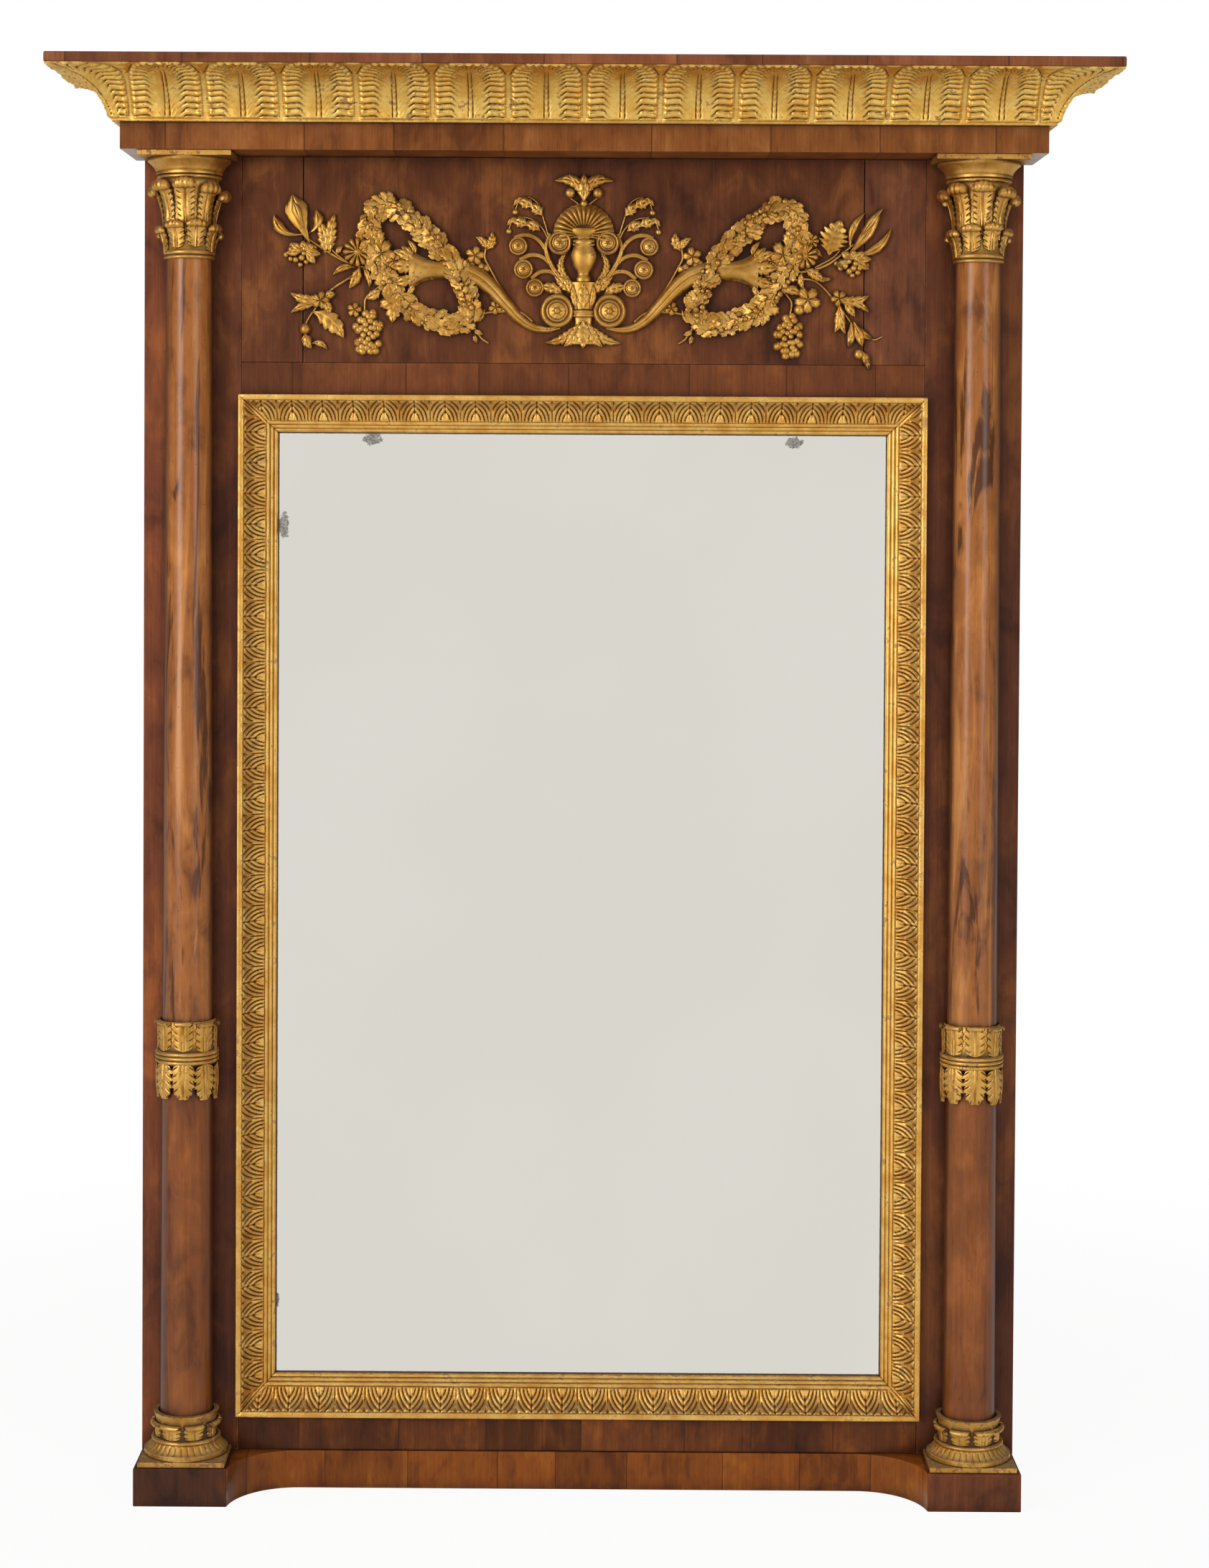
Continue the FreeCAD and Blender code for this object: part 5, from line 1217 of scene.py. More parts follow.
def leaf(root, tip, width, lift=4.0, bend=0.0, lobes=5, notch=0.30, base=0.0):
    """A lobed leaf from root to tip, its spine bowed sideways by a share of its length."""
    root, tip = np.array(root, float), np.array(tip, float)
    way = tip - root
    side = np.array([-way[1], way[0]])
    u = np.linspace(0, 1, 7 * lobes + 4)[:, None]
    c = np.linspace(-1, 1, 11)[None, :]
    body = np.sin(math.pi * np.clip(u, 0.03, 0.985) ** 0.78) ** 0.75
    edge = 0.5 * width * body * (1 - notch * (1 - (u * lobes) % 1.0) ** 1.5)
    swept = np.clip(u + 0.5 * np.abs(c) ** 1.4 / lobes * (1 - u), 0, 1)[..., None]
    spine = root + way * swept + side * (4 * bend * swept * (1 - swept))
    slope = way + side * (4 * bend * (1 - 2 * swept))
    across = np.stack([-slope[..., 1], slope[..., 0]], -1) / np.linalg.norm(slope, axis=-1)[..., None]
    plan = spine + across * (edge * c)[..., None]
    vein = np.abs(np.sin(math.pi * (u * lobes - 0.6 * np.abs(c)))) ** 0.6
    dome = np.sqrt(1 - 0.9 * c**2)
    height = base + 1.4 + lift * dome * (0.70 + 0.30 * vein) * (0.5 + 0.5 * np.sin(math.pi * u))
    return raised(plan, height - 0.22 * lift * np.exp(-((c / 0.12) ** 2)))


def vine(centre, radius, turn=0.0, lift=4.0, points=5, base=0.0):
    """A broad toothed leaf seen full face, its stalk end turned by an angle in degrees."""
    spokes = 16 * points
    angle = np.linspace(0, 2 * math.pi, spokes, endpoint=False)
    lobe = np.abs(np.cos(0.5 * points * angle))
    teeth = np.abs(np.sin(2.0 * points * angle))
    outline = radius * (0.58 + 0.42 * lobe**0.7) * (1 - 0.10 * teeth)
    share = np.linspace(0, 1, 8)[:, None]
    height = base + 1.4 + lift * (1 - share**2) ** 0.5 * (0.55 + 0.45 * lobe)
    height = height - 0.35 * lift * np.exp(-(((1 - lobe) / 0.02) ** 2)) * share
    relief = raised_round((0, 0), outline, height)
    turned_by = math.radians(turn)
    x, z = relief[0][:, 0].copy(), relief[0][:, 2] - frieze_foot
    relief[0][:, 0] = centre[0] / 1000 + x * math.cos(turned_by) + z * math.sin(turned_by)
    relief[0][:, 2] = centre[1] / 1000 + frieze_foot - x * math.sin(turned_by) + z * math.cos(turned_by)
    return relief


def strip(path, widths, lift, base=0.0, furrows=0, count=None):
    """A half-round stem or band along a path, furrowed lengthways when asked.

    Lift is its height where it is widest, or its height at even steps along the path."""
    path = along_path(path, count or 8 * len(path))
    wide = np.interp(np.linspace(0, 1, len(path)), np.linspace(0, 1, len(widths)), widths)
    way = np.gradient(path, axis=0)
    across = np.stack([-way[:, 1], way[:, 0]], -1) / np.linalg.norm(way, axis=1)[:, None]
    c = np.linspace(-1, 1, 7 + 6 * furrows)
    plan = path[:, None, :] + across[:, None, :] * (0.5 * wide[:, None] * c)[..., None]
    round_over = np.sqrt(np.clip(1 - 0.97 * c**2, 0, 1))
    if furrows:
        furrow = np.abs(np.sin(math.pi * (furrows + 1) * (c + 1) / 2)) ** 0.6
        round_over = round_over * (0.80 + 0.20 * furrow)
    if np.ndim(lift) == 0:
        rise = lift * wide / np.max(wide)
    else:
        rise = np.interp(np.linspace(0, 1, len(path)), np.linspace(0, 1, len(lift)), lift)
    return raised(plan, base + 1.0 + rise[:, None] * round_over[None, :])


def berry(centre, radius, base=0.0):
    share = np.linspace(0, 1, 6)[:, None]
    height = base + 0.9 * radius * np.sqrt(np.clip(1 - share**2, 0, 1)) + np.zeros(14)
    return raised_round(centre, np.full(14, float(radius)), height)


def rosette(centre, radius, lift, petals, base=0.0):
    """A scroll end: a raised rim round a small flower with a button."""
    angle = np.linspace(0, 2 * math.pi, 60, endpoint=False)
    share = np.linspace(0, 1, 25)[:, None]
    rim = np.exp(-(((share - 0.86) / 0.12) ** 2))
    inner = 0.55 * np.exp(-(((share - 0.60) / 0.06) ** 2))
    petal = np.abs(np.cos(0.5 * petals * angle)) ** 0.7
    flower = 0.75 * np.exp(-((share / 0.40) ** 4)) * (0.62 + 0.38 * petal)
    button = 0.45 * np.exp(-((share / 0.12) ** 2))
    height = base + 1.2 + lift * (0.48 + 0.46 * np.maximum(np.maximum(rim, inner), flower) + 0.7 * button)
    return raised_round(centre, np.full(60, float(radius)), height)


def daisy(centre, radius, petals, lift, base=0.0):
    """An open flower of rounded petals round a domed middle."""
    angle = np.linspace(0, 2 * math.pi, 8 * petals, endpoint=False)
    petal = np.abs(np.cos(0.5 * petals * angle))
    share = np.linspace(0, 1, 12)[:, None]
    dome = 0.9 * np.sqrt(np.clip(1 - (share / 0.36) ** 2, 0, 1))
    ring = np.sqrt(np.clip(1 - ((share - 0.66) / 0.42) ** 2, 0, 1)) * (0.35 + 0.65 * petal**0.6)
    height = base + 1.2 + lift * np.maximum(dome, ring)
    return raised_round(centre, radius * (0.76 + 0.24 * petal**0.5), height)


def bulb(profile, lift, base=0.0, ribs=0):
    """A turned form in half relief, from (half width, height) pairs up its middle line."""
    profile = along_path(profile, 12 * len(profile))
    c = np.linspace(-1, 1, 19)[None, :]
    plan = np.stack([profile[:, :1] * c, np.repeat(profile[:, 1:], 19, axis=1)], -1)
    wide = profile[:, :1] / np.max(profile[:, 0])
    rib = 1 - (0.12 * np.abs(np.sin(math.pi * ribs * (c + 1) / 2)) if ribs else 0)
    return raised(plan, base + 1.0 + lift * wide * np.sqrt(np.clip(1 - 0.96 * c**2, 0, 1)) * rib)


def mirrored(reliefs):
    return [(points * np.array([-1.0, 1.0, 1.0]), faces) for points, faces in reliefs]


def fixed_relief(node, reliefs):
    """A piece of the ornament from its reliefs, shown for its node."""
    shown_as(f"{node}_carved", mesh_of(reliefs), ornament_gilding, [node], crease=50.0)


# Vase, shell and crown in the middle
def fluted_shell():
    """The shell behind the vase's mouth, with flutes that spread like a fan."""
    reach, flutes = 1.95, 19
    angle = np.linspace(-reach, reach, 171)
    share = np.linspace(0, 1, 22)[:, None]
    flute = np.abs(np.sin(flutes * math.pi * (angle / (2 * reach) + 0.5))) ** 0.6
    radius = (14.0 + share * (27.0 - 1.2 * (1 - flute))) * (1 - 0.06 * (np.abs(angle) / reach) ** 2)
    plan = np.stack([radius * np.sin(angle), 167.0 + 0.98 * radius * np.cos(angle)], -1)
    swell = np.sin(math.pi * np.clip(0.15 + 0.80 * share, 0, 1)) ** 0.8
    return raised(plan, 2.0 + 9.0 * swell * (0.62 + 0.38 * flute))


vase_profile = (
    (13.8, 159), (14.4, 156), (13.0, 152), (15.6, 144), (16.2, 138), (13.5, 128), (8.5, 119), (7.2, 115),
    (9.0, 110), (9.0, 106))
middle_line = [
    # Shell and the cup that it springs from
    fluted_shell(),
    bulb(((8, 157), (7.5, 160), (9, 164), (14, 168), (17, 172), (16, 175)), 5.0, 4.0),
    # Vase with two bands at its lip
    bulb(vase_profile, 11.0, 4.0),
    strip(((-13.6, 157.5), (0, 159.2), (13.6, 157.5)), (3.0, 3.0), 2.4, 10.0),
    strip(((-14.0, 153.5), (0, 152.0), (14.0, 153.5)), (2.4, 2.4), 2.0, 10.5),
    # Stem with its leaf and knop
    bulb(((13, 70), (14.5, 78), (15, 90), (16, 98), (17, 105)), 9.0, 3.0),
    leaf((0, 70), (0, 104), 17, 3.0, 0.0, 4, 0.25, 10.0),
    bulb(((13.5, 60.5), (14.2, 62.5), (13.0, 64.3), (14.2, 66.2), (13.2, 68.5)), 9.0, 4.0),
    # Spreading foot under a leaf
    bulb(((11.5, 60), (10.5, 53), (12, 44), (17, 34), (21, 27), (19, 25)), 7.0, 2.0),
    leaf((0, 56), (0, 20), 20, 3.0, 0.0, 5, 0.32, 7.0),
    # Middle leaf of the crown
    leaf((0, 206), (0, 245), 19, 5.0, 0.0, 3, 0.30, 5.0),
    berry((0, 207), 5.0, 6.0),
]
right_half = [
    # Side leaves and berry of the crown
    leaf((2, 212), (38, 236), 17, 4.5, 0.30, 4, 0.34, 2.0),
    leaf((2, 212), (20, 244), 14, 4.0, 0.14, 3, 0.30, 3.5),
    strip(((2, 203), (9, 208), (17, 214)), (3.0, 2.4), 2.5, 1.0),
    berry((18, 221), 7.2, 2.0),
    # Scroll ends
    rosette((31, 156), 15.2, 7.5, 5, 3.5),
    rosette((85, 152), 12.2, 5.0, 5),
    rosette((78, 122), 12.7, 5.0, 5),
    rosette((63, 98), 12.0, 5.0, 5),
    rosette((34, 68), 21.7, 9.0, 6, 1.0),
    berry((34, 68), 5.0, 8.5),
    # Scroll stems
    strip(((49, 147), (57, 158), (68, 165), (80, 166), (90, 162)), (6.0, 6.6), 3.4, 0.5, 1),
    strip(((40, 124), (48, 134), (58, 139.5), (70, 140), (83, 134)), (6.0, 6.6), 3.4, 0.5, 1),
    strip(((30, 109), (37, 116), (46, 119.5), (57, 118), (68, 110)), (6.0, 6.6), 3.4, 0.5, 1),
    strip(((44, 168), (49, 150), (45, 134), (36, 118), (22, 100)), (5.0, 7.0, 8.0), 4.5, 1.0, 1),
    # Leaves at the stem and the foot
    leaf((13, 104), (20, 148), 11, 4.0, -0.30, 7, 0.40, 2.0),
    leaf((18, 90), (38, 113), 17, 5.0, 0.10, 4, 0.3, 2.0),
    leaf((26, 88), (57, 99), 17, 5.0, 0.12, 4, 0.3, 1.0),
    leaf((12, 88), (20, 110), 14, 4.0, -0.05, 3, 0.3, 5.0),
    leaf((8, 70), (13, 102), 9, 2.6, -0.06, 4, 0.25, 8.5),
    leaf((8, 52), (49, 27), 15, 4.5, -0.16, 5, 0.36, 2.0),
    leaf((5, 54), (25, 22), 16, 3.5, -0.10, 5, 0.30, 5.0),
    # Upper tendril
    strip(((46, 166), (52, 186), (59, 206), (72, 215), (84, 210), (89, 198)), (2.4, 2.0), 2.0, 0.5, 0, 40),
    leaf((53, 190), (70, 207), 17, 3.8, 0.05, 3, 0.35, 1.0),
    leaf((65, 201), (86, 210), 18, 3.8, 0.10, 3, 0.35, 1.2),
    leaf((76, 214), (91, 204), 8, 2.6, 0.15, 3, 0.3, 1.2),
    berry((89, 196), 4.2, 1.0),
    # Lower tendril
    strip(((46, 160), (53, 174), (66, 186), (82, 189), (93, 183), (97, 174)), (2.4, 2.0), 2.0, 0.5, 0, 40),
    leaf((56, 171), (76, 182), 17, 3.8, 0.08, 3, 0.35, 1.0),
    leaf((72, 177), (93, 184), 17, 3.8, 0.10, 3, 0.35, 1.2),
    leaf((85, 188), (99, 178), 8, 2.6, 0.15, 3, 0.3, 1.2),
    berry((97, 171), 4.2, 1.0),
]
fixed_relief("ornament_centre", middle_line + right_half + mirrored(right_half))

# Horns of plenty
horn_path = (
    (30, 47), (46, 44), (64, 46), (82, 57), (100, 76), (118, 96), (136, 111), (156, 119), (178, 121),
    (196, 121))
horn_widths = (6, 9, 12, 15, 18, 21, 24, 25, 25, 25)
horn_heights = (3.5, 5, 6.5, 8, 9.5, 10.5, 11.5, 12, 12, 12)
mouth_path = ((178, 121), (194, 121), (208, 121), (218, 121), (226, 121))
mouth_widths = (25, 25, 25.5, 27, 30, 36, 45, 54)
mouth_heights = (12.1, 12.3, 12.5, 12.8, 13, 13, 12.8, 12)
horn = [
    # Horn and its flared mouth
    strip(horn_path, horn_widths, horn_heights, 0.5, 1, 90),
    strip(mouth_path, mouth_widths, mouth_heights, 0.5, 0, 60),
    # Leaves in the mouth
    leaf((218, 138), (228, 158), 9, 3.0, 0.12, 3, 0.2, 4.0),
    leaf((220, 104), (230, 88), 9, 3.0, -0.12, 3, 0.2, 4.0),
    leaf((216, 121), (250, 124), 21, 5.0, 0.05, 3, 0.30, 8.0),
    leaf((217, 127), (246, 144), 17, 4.5, 0.10, 3, 0.30, 7.0),
    leaf((217, 115), (247, 103), 17, 4.5, -0.10, 3, 0.30, 7.0),
    leaf((219, 133), (236, 150), 13, 4.0, 0.05, 3, 0.3, 6.0),
    # Upper sprig
    strip(((104, 92), (113, 107), (121, 122), (128, 136), (127, 150)), (4.0, 3.0, 2.6), 2.6, 1.0),
    vine((130, 122), 9.5, 40, 4.0, 3, 1.0),
    vine((141, 139), 14.0, 60, 4.0, 5, 1.0),
    vine((148, 130), 9.0, 100, 3.0, 3, 1.0),
    leaf((126, 146), (119, 170), 15, 4.0, 0.12, 4, 0.35, 1.0),
    leaf((127, 146), (140, 163), 12, 3.4, 0.20, 4, 0.35, 1.0),
    # Lower sprig
    strip(((66, 54), (78, 64), (92, 68), (104, 67), (120, 66), (140, 62)), (3.4, 3.0, 3.0), 2.6, 0.5),
    vine((99, 72), 9.0, 0, 4.0, 3, 1.0),
    vine((114, 72), 10.5, 30, 4.0, 5, 1.0),
    berry((98, 71), 6.0, 2.0),
    leaf((144, 52), (128, 70), 10, 3.0, 0.1, 3, 0.3, 1.0),
    strip(((146, 52), (139, 42), (132, 32), (123, 26)), (3.4, 2.4), 2.4, 0.5),
    leaf((142, 44), (130, 38), 9, 3.0, 0.1, 3, 0.35, 1.0),
    leaf((140, 38), (138, 26), 8, 3.0, 0.1, 3, 0.35, 1.0),
]
for side, reliefs in (("right", horn), ("left", mirrored(horn))):
    fixed_relief(f"cornucopia_{side}", reliefs)

# Wreaths of leaves and berries, tied closed and laid over each horn
ring_path = (
    (274, 147), (277, 170), (272, 193), (257, 203), (234, 193), (211, 174), (188, 151), (168, 124),
    (155, 98), (147, 75), (148, 58), (166, 50), (191, 54), (214, 62), (231, 75), (246, 95), (262, 120),
    (274, 147),
)
garland = along_path(ring_path, 150)
garland_way = np.gradient(garland, axis=0)
garland_side = np.stack([-garland_way[:, 1], garland_way[:, 0]], -1)
garland_side /= np.linalg.norm(garland_way, axis=1)[:, None]


def scale_leaf(long, wide, tall):
    """A small lobed leaf in few faces, for lapping along a garland; stands toward -Y with its tip up."""
    body = np.array([0.34, 0.84, 1.0, 0.70, 0.86, 0.50, 0.05])[:, None]
    u = np.linspace(0, 1, len(body))[:, None]
    c = np.linspace(-1, 1, 5)[None, :]
    x = 0.5 * wide * body * c
    z = long * (u - 0.42) - 0.12 * long * np.abs(c) * (1 - u)
    stand = tall * (0.30 + 0.70 * u**0.8) * (1 - 0.42 * c**2) - 0.22 * tall * np.exp(-((c / 0.25) ** 2))
    front = np.stack([x, -stand, z], -1)
    back = np.stack([0.8 * x, 0.6 * tall - 0.35 * stand, z], -1)
    return carved_shell(front, back)


def small_berry(radius):
    """A round berry in few faces."""
    cols, rows = 8, 5
    turn = np.linspace(0, 2 * math.pi, cols, endpoint=False)
    tilt = np.linspace(0, math.pi, rows)[:, None]
    out = np.sin(tilt)
    grid = radius * np.stack([out * np.sin(turn), -np.cos(tilt) + 0 * turn, out * np.cos(turn)], -1)
    return grid.reshape(-1, 3), grid_faces(rows, cols, wrap_cols=True)


garland_leaf = scale_leaf(0.0165, 0.0118, 0.0042)
garland_berry = small_berry(0.0040)
leaf_wander = (math.radians(12), math.radians(10), math.radians(12))
berry_wander = (0.4, 0.4, 0.4)
berry_share = 0.20
berry_proud = 0.0008
lane_width = 8.6
rng = np.random.default_rng(11)
for side, sign in (("left", -1), ("right", 1)):
    core = strip(ring_path, (21, 24, 22, 20, 23, 21), 7.0, 0.0, 0, len(garland))
    bm = mesh_of([core] if sign > 0 else mirrored([core]))
    leaf_spots, leaf_turns, leaf_sizes, berry_spots, berry_sizes = [], [], [], [], []
    for place in range(0, len(garland) - 1, 2):
        for lane in (-1, 0, 1):
            shift = lane * lane_width + rng.uniform(-2.0, 2.0)
            spot = garland[place] + garland_side[place] * shift + garland_way[place] * rng.uniform(-1.0, 1.0)
            height = 8.0 - 3.6 * (shift / 11.5) ** 2 + rng.uniform(-0.5, 1.2)
            over_horn = math.exp(-(((spot[0] - 165) / 20) ** 2 + ((spot[1] - 118) / 22) ** 2))
            height = height + 6.5 * over_horn
            heading = math.atan2(*garland_way[place]) + 0.55 * lane + rng.uniform(-0.35, 0.35)
            x, y, z = on_frieze(np.array([[sign * spot[0], spot[1], height]]))[0]
            if rng.random() < berry_share:
                berry_spots.append((x, y - berry_proud, z))
                berry_sizes.append(rng.uniform(0.75, 1.25))
            else:
                leaf_spots.append((x, y, z))
                leaf_turns.append((0.0, sign * heading, 0.0))
                leaf_sizes.append(rng.uniform(0.78, 1.15))
    set_out(bm, garland_leaf, leaf_spots, leaf_turns, leaf_sizes, ornament_gilding, leaf_wander, 0.08, 3)
    no_turn = [(0.0, 0.0, 0.0)] * len(berry_spots)
    set_out(bm, garland_berry, berry_spots, no_turn, berry_sizes, ornament_gilding, berry_wander, 0.1, 5)
    shown_as(f"wreath_{side}_carved", bm, ornament_gilding, [f"wreath_{side}"], crease=50.0)


# Sprays and fruit; the two sides were modelled separately and differ in their flowers
def cluster(centre, width, height, count, seed, berry_size, base, ring=False):
    """A bunch of berries heaped toward its middle, or, as a ring, with larger ones outside."""
    golden_angle = 2.39996
    dice = np.random.default_rng(seed)
    reliefs = []
    for place in range(count):
        share = math.sqrt((place + 0.5) / count)
        turn = golden_angle * place + dice.uniform(-0.2, 0.2)
        x = centre[0] + 0.46 * width * share * math.cos(turn)
        z = centre[1] + 0.46 * height * share * math.sin(turn)
        size = berry_size * (0.72 + 0.45 * share if ring else dice.uniform(0.85, 1.15))
        reliefs.append(berry((x, z), size, base + 5.5 * (1 - share**2)))
    return reliefs


spray_right = [
    # Stems
    strip(((226, 121), (258, 119), (294, 122), (318, 131), (338, 146), (350, 156)),
          (5.0, 4.0, 3.4), 3.2, 0.5),
    strip(((232, 126), (262, 124), (290, 126)), (3.4, 3.0), 3.0, 1.0),
    strip(((300, 126), (322, 138), (332, 148)), (3.0, 2.6), 2.6, 0.6),
    # Tulip at the tip
    leaf((340, 140), (384, 200), 16, 5.5, -0.05, 2, 0.10, 2.0),
    leaf((344, 142), (398, 176), 12, 4.5, -0.18, 2, 0.08, 2.0),
    leaf((346, 148), (364, 196), 10, 4.0, 0.14, 2, 0.08, 1.0),
    leaf((356, 158), (388, 203), 9, 4.0, 0.05, 2, 0.1, 5.0),
    # Broad leaf and a bud
    leaf((318, 142), (334, 187), 40, 4.0, 0.04, 6, 0.42, 1.5),
    leaf((310, 140), (300, 152), 8, 3.0, 0.1, 2, 0.1, 1.0),
    # Daisies
    daisy((287, 141), 17.0, 11, 6.0, 3.0),
    daisy((295, 160), 10.0, 8, 4.0, 2.0),
    # Leaves toward the horn
    vine((258, 141), 20.0, -30, 5.0, 5, 5.0),
    vine((244, 133), 14.0, -60, 4.0, 5, 5.0),
    leaf((262, 150), (272, 178), 20, 4.5, 0.0, 4, 0.3, 5.0),
    vine((268, 125), 10.0, 90, 4.0, 5, 2.0),
    leaf((286, 124), (312, 107), 15, 4.5, 0.05, 4, 0.3, 2.5),
    leaf((300, 118), (323, 113), 8, 3.0, -0.20, 3, 0.2, 1.5),
    leaf((284, 122), (286, 98), 10, 3.5, -0.15, 3, 0.25, 1.0),
    vine((243, 112), 13.0, 160, 4.0, 5, 3.0),
    vine((256, 104), 11.0, 120, 4.0, 5, 3.0),
]
spray_right += cluster((349, 131), 46, 34, 18, 21, 4.2, 1.0)
for tip in ((326, 128), (334, 146), (350, 149), (364, 146), (373, 137), (370, 124)):
    spray_right.append(leaf((349, 136), tip, 11, 3.2, 0.0, 2, 0.1, 4.5))
spray_left = [
    # Stems
    strip(((-226, 121), (-258, 120), (-283, 123), (-312, 132), (-336, 146), (-358, 160)),
          (5.0, 4.0, 3.4), 3.2, 0.5),
    strip(((-300, 126), (-318, 138), (-327, 146)), (3.0, 2.6), 2.6, 0.6),
    # Lily at the tip
    leaf((-354, 152), (-378, 216), 30, 7.0, 0.03, 1, 0.0, 1.0),
    leaf((-362, 166), (-402, 190), 14, 5.0, 0.24, 1, 0.0, 3.0),
    leaf((-358, 166), (-347, 197), 13, 5.0, -0.24, 1, 0.0, 3.0),
    leaf((-362, 172), (-376, 206), 13, 4.0, 0.0, 1, 0.0, 6.0),
    # Two leaves and a bud
    leaf((-335, 140), (-345, 186), 19, 4.5, -0.06, 5, 0.40, 2.0),
    leaf((-329, 140), (-323, 192), 20, 4.5, 0.06, 5, 0.40, 1.5),
    leaf((-322, 138), (-312, 150), 8, 3.0, 0.1, 2, 0.1, 1.0),
    # Daisy
    daisy((-293, 143), 19.0, 12, 6.5, 3.0),
    # Leaves toward the horn
    vine((-262, 141), 20.0, 30, 5.0, 5, 5.0),
    vine((-246, 132), 14.0, 60, 4.0, 5, 5.0),
    leaf((-262, 150), (-272, 178), 20, 4.5, 0.0, 4, 0.3, 5.0),
    leaf((-290, 126), (-304, 96), 15, 4.5, 0.06, 3, 0.2, 2.0),
    leaf((-288, 124), (-278, 98), 10, 3.5, 0.15, 3, 0.2, 1.5),
    leaf((-294, 122), (-325, 113), 10, 3.5, -0.18, 3, 0.2, 1.5),
    vine((-256, 122), 13.0, 200, 4.0, 5, 3.0),
    vine((-262, 108), 12.0, 230, 4.0, 5, 2.0),
]
spray_left += cluster((-366, 141), 44, 34, 18, 22, 4.0, 1.0)
for tip in ((-348, 128), (-341, 140), (-350, 152), (-364, 157), (-380, 153), (-386, 141)):
    spray_left.append(leaf((-362, 144), tip, 11, 3.2, 0.0, 2, 0.1, 4.5))
fruit_right = [
    # Stem and its open flower
    strip(((232, 112), (252, 106), (274, 110), (296, 110), (310, 101), (322, 88)),
          (4.4, 3.4, 3.0), 3.0, 0.5),
    vine((331, 86), 12.0, 45, 5.0, 5, 3.0),
    leaf((328, 88), (370, 90), 15, 4.5, -0.16, 4, 0.3, 2.5),
    leaf((334, 82), (370, 68), 12, 4.0, 0.15, 3, 0.25, 2.0),
    leaf((330, 82), (326, 42), 15, 4.5, 0.12, 3, 0.25, 2.0),
    leaf((334, 78), (340, 40), 12, 4.0, -0.08, 3, 0.2, 2.5),
    leaf((336, 82), (352, 62), 12, 4.0, 0.05, 3, 0.2, 3.0),
    # Hanging bell, tendril and berries
    strip(((336, 70), (345, 58), (349, 52)), (3.0, 2.6), 2.4, 0.5),
    leaf((347, 58), (344, 22), 12, 4.0, 0.06, 2, 0.08, 1.5),
    leaf((349, 58), (362, 24), 13, 4.5, 0.04, 2, 0.08, 2.5),
    leaf((351, 56), (376, 34), 11, 4.0, -0.12, 2, 0.08, 1.5),
    strip(((366, 37), (378, 33), (388, 37)), (3.0, 1.6), 1.6, 0.5),
    berry((358, 14), 7.0, 1.0),
    berry((366, 10), 6.0, 2.0),
    leaf((360, 20), (371, -6), 11, 4.0, 0.05, 3, 0.2, 2.0),
    # Stalk and leaves of the grapes
    strip(((252, 104), (262, 92), (270, 80), (268, 64)), (3.4, 2.8), 2.8, 0.6),
    vine((237, 76), 20.0, 190, 5.0, 5, 3.0),
    leaf((240, 84), (232, 50), 20, 4.0, 0.0, 4, 0.4, 3.5),
    vine((291, 84), 19.0, 110, 5.0, 5, 1.5),
    berry((280, 71), 7.5, 2.0),
    leaf((254, 96), (282, 90), 14, 4.0, 0.15, 3, 0.2, 2.0),
    leaf((256, 96), (240, 90), 12, 3.5, 0.1, 3, 0.25, 3.0),
]
fruit_right += cluster((267, 36), 37, 60, 34, 31, 5.2, 0.5, True)
fruit_left = [
    # Stem and its open flower
    strip(((-290, 118), (-306, 108), (-322, 98), (-334, 88)), (4.0, 3.0), 3.0, 0.5),
    vine((-341, 80), 13.0, -60, 5.0, 5, 3.0),
    leaf((-338, 84), (-380, 90), 15, 4.5, 0.14, 4, 0.3, 2.5),
    leaf((-344, 74), (-379, 64), 12, 4.0, -0.12, 3, 0.25, 2.0),
    leaf((-336, 84), (-322, 88), 12, 4.0, 0.1, 3, 0.2, 3.0),
    leaf((-336, 80), (-330, 62), 13, 4.0, 0.1, 3, 0.25, 3.0),
    # Hanging bud and berries
    strip(((-346, 72), (-356, 58), (-362, 46)), (3.0, 2.4), 2.4, 0.5),
    leaf((-352, 66), (-311, 32), 26, 4.5, 0.10, 4, 0.30, 2.0),
    berry((-361, 43), 7.5, 1.5),
    berry((-359, 29), 7.0, 2.0),
    leaf((-360, 40), (-352, 18), 14, 4.0, -0.15, 3, 0.25, 2.0),
    leaf((-354, 24), (-332, 16), 9, 3.0, 0.20, 3, 0.2, 1.0),
    # Stalk and leaves of the grapes
    strip(((-254, 106), (-268, 96), (-282, 84), (-284, 68)), (3.4, 2.8), 2.8, 0.6),
    vine((-246, 82), 21.0, 170, 5.0, 5, 3.0),
    leaf((-244, 88), (-248, 52), 24, 4.0, 0.0, 4, 0.4, 3.5),
    leaf((-262, 96), (-283, 84), 15, 4.0, 0.1, 3, 0.25, 2.5),
    vine((-297, 68), 11.0, -60, 4.0, 5, 1.0),
]
fruit_left += cluster((-279, 38), 38, 62, 34, 32, 5.4, 0.5, True)
fixed_relief("spray_right", spray_right)
fixed_relief("spray_left", spray_left)
fixed_relief("fruit_right", fruit_right)
fixed_relief("fruit_left", fruit_left)


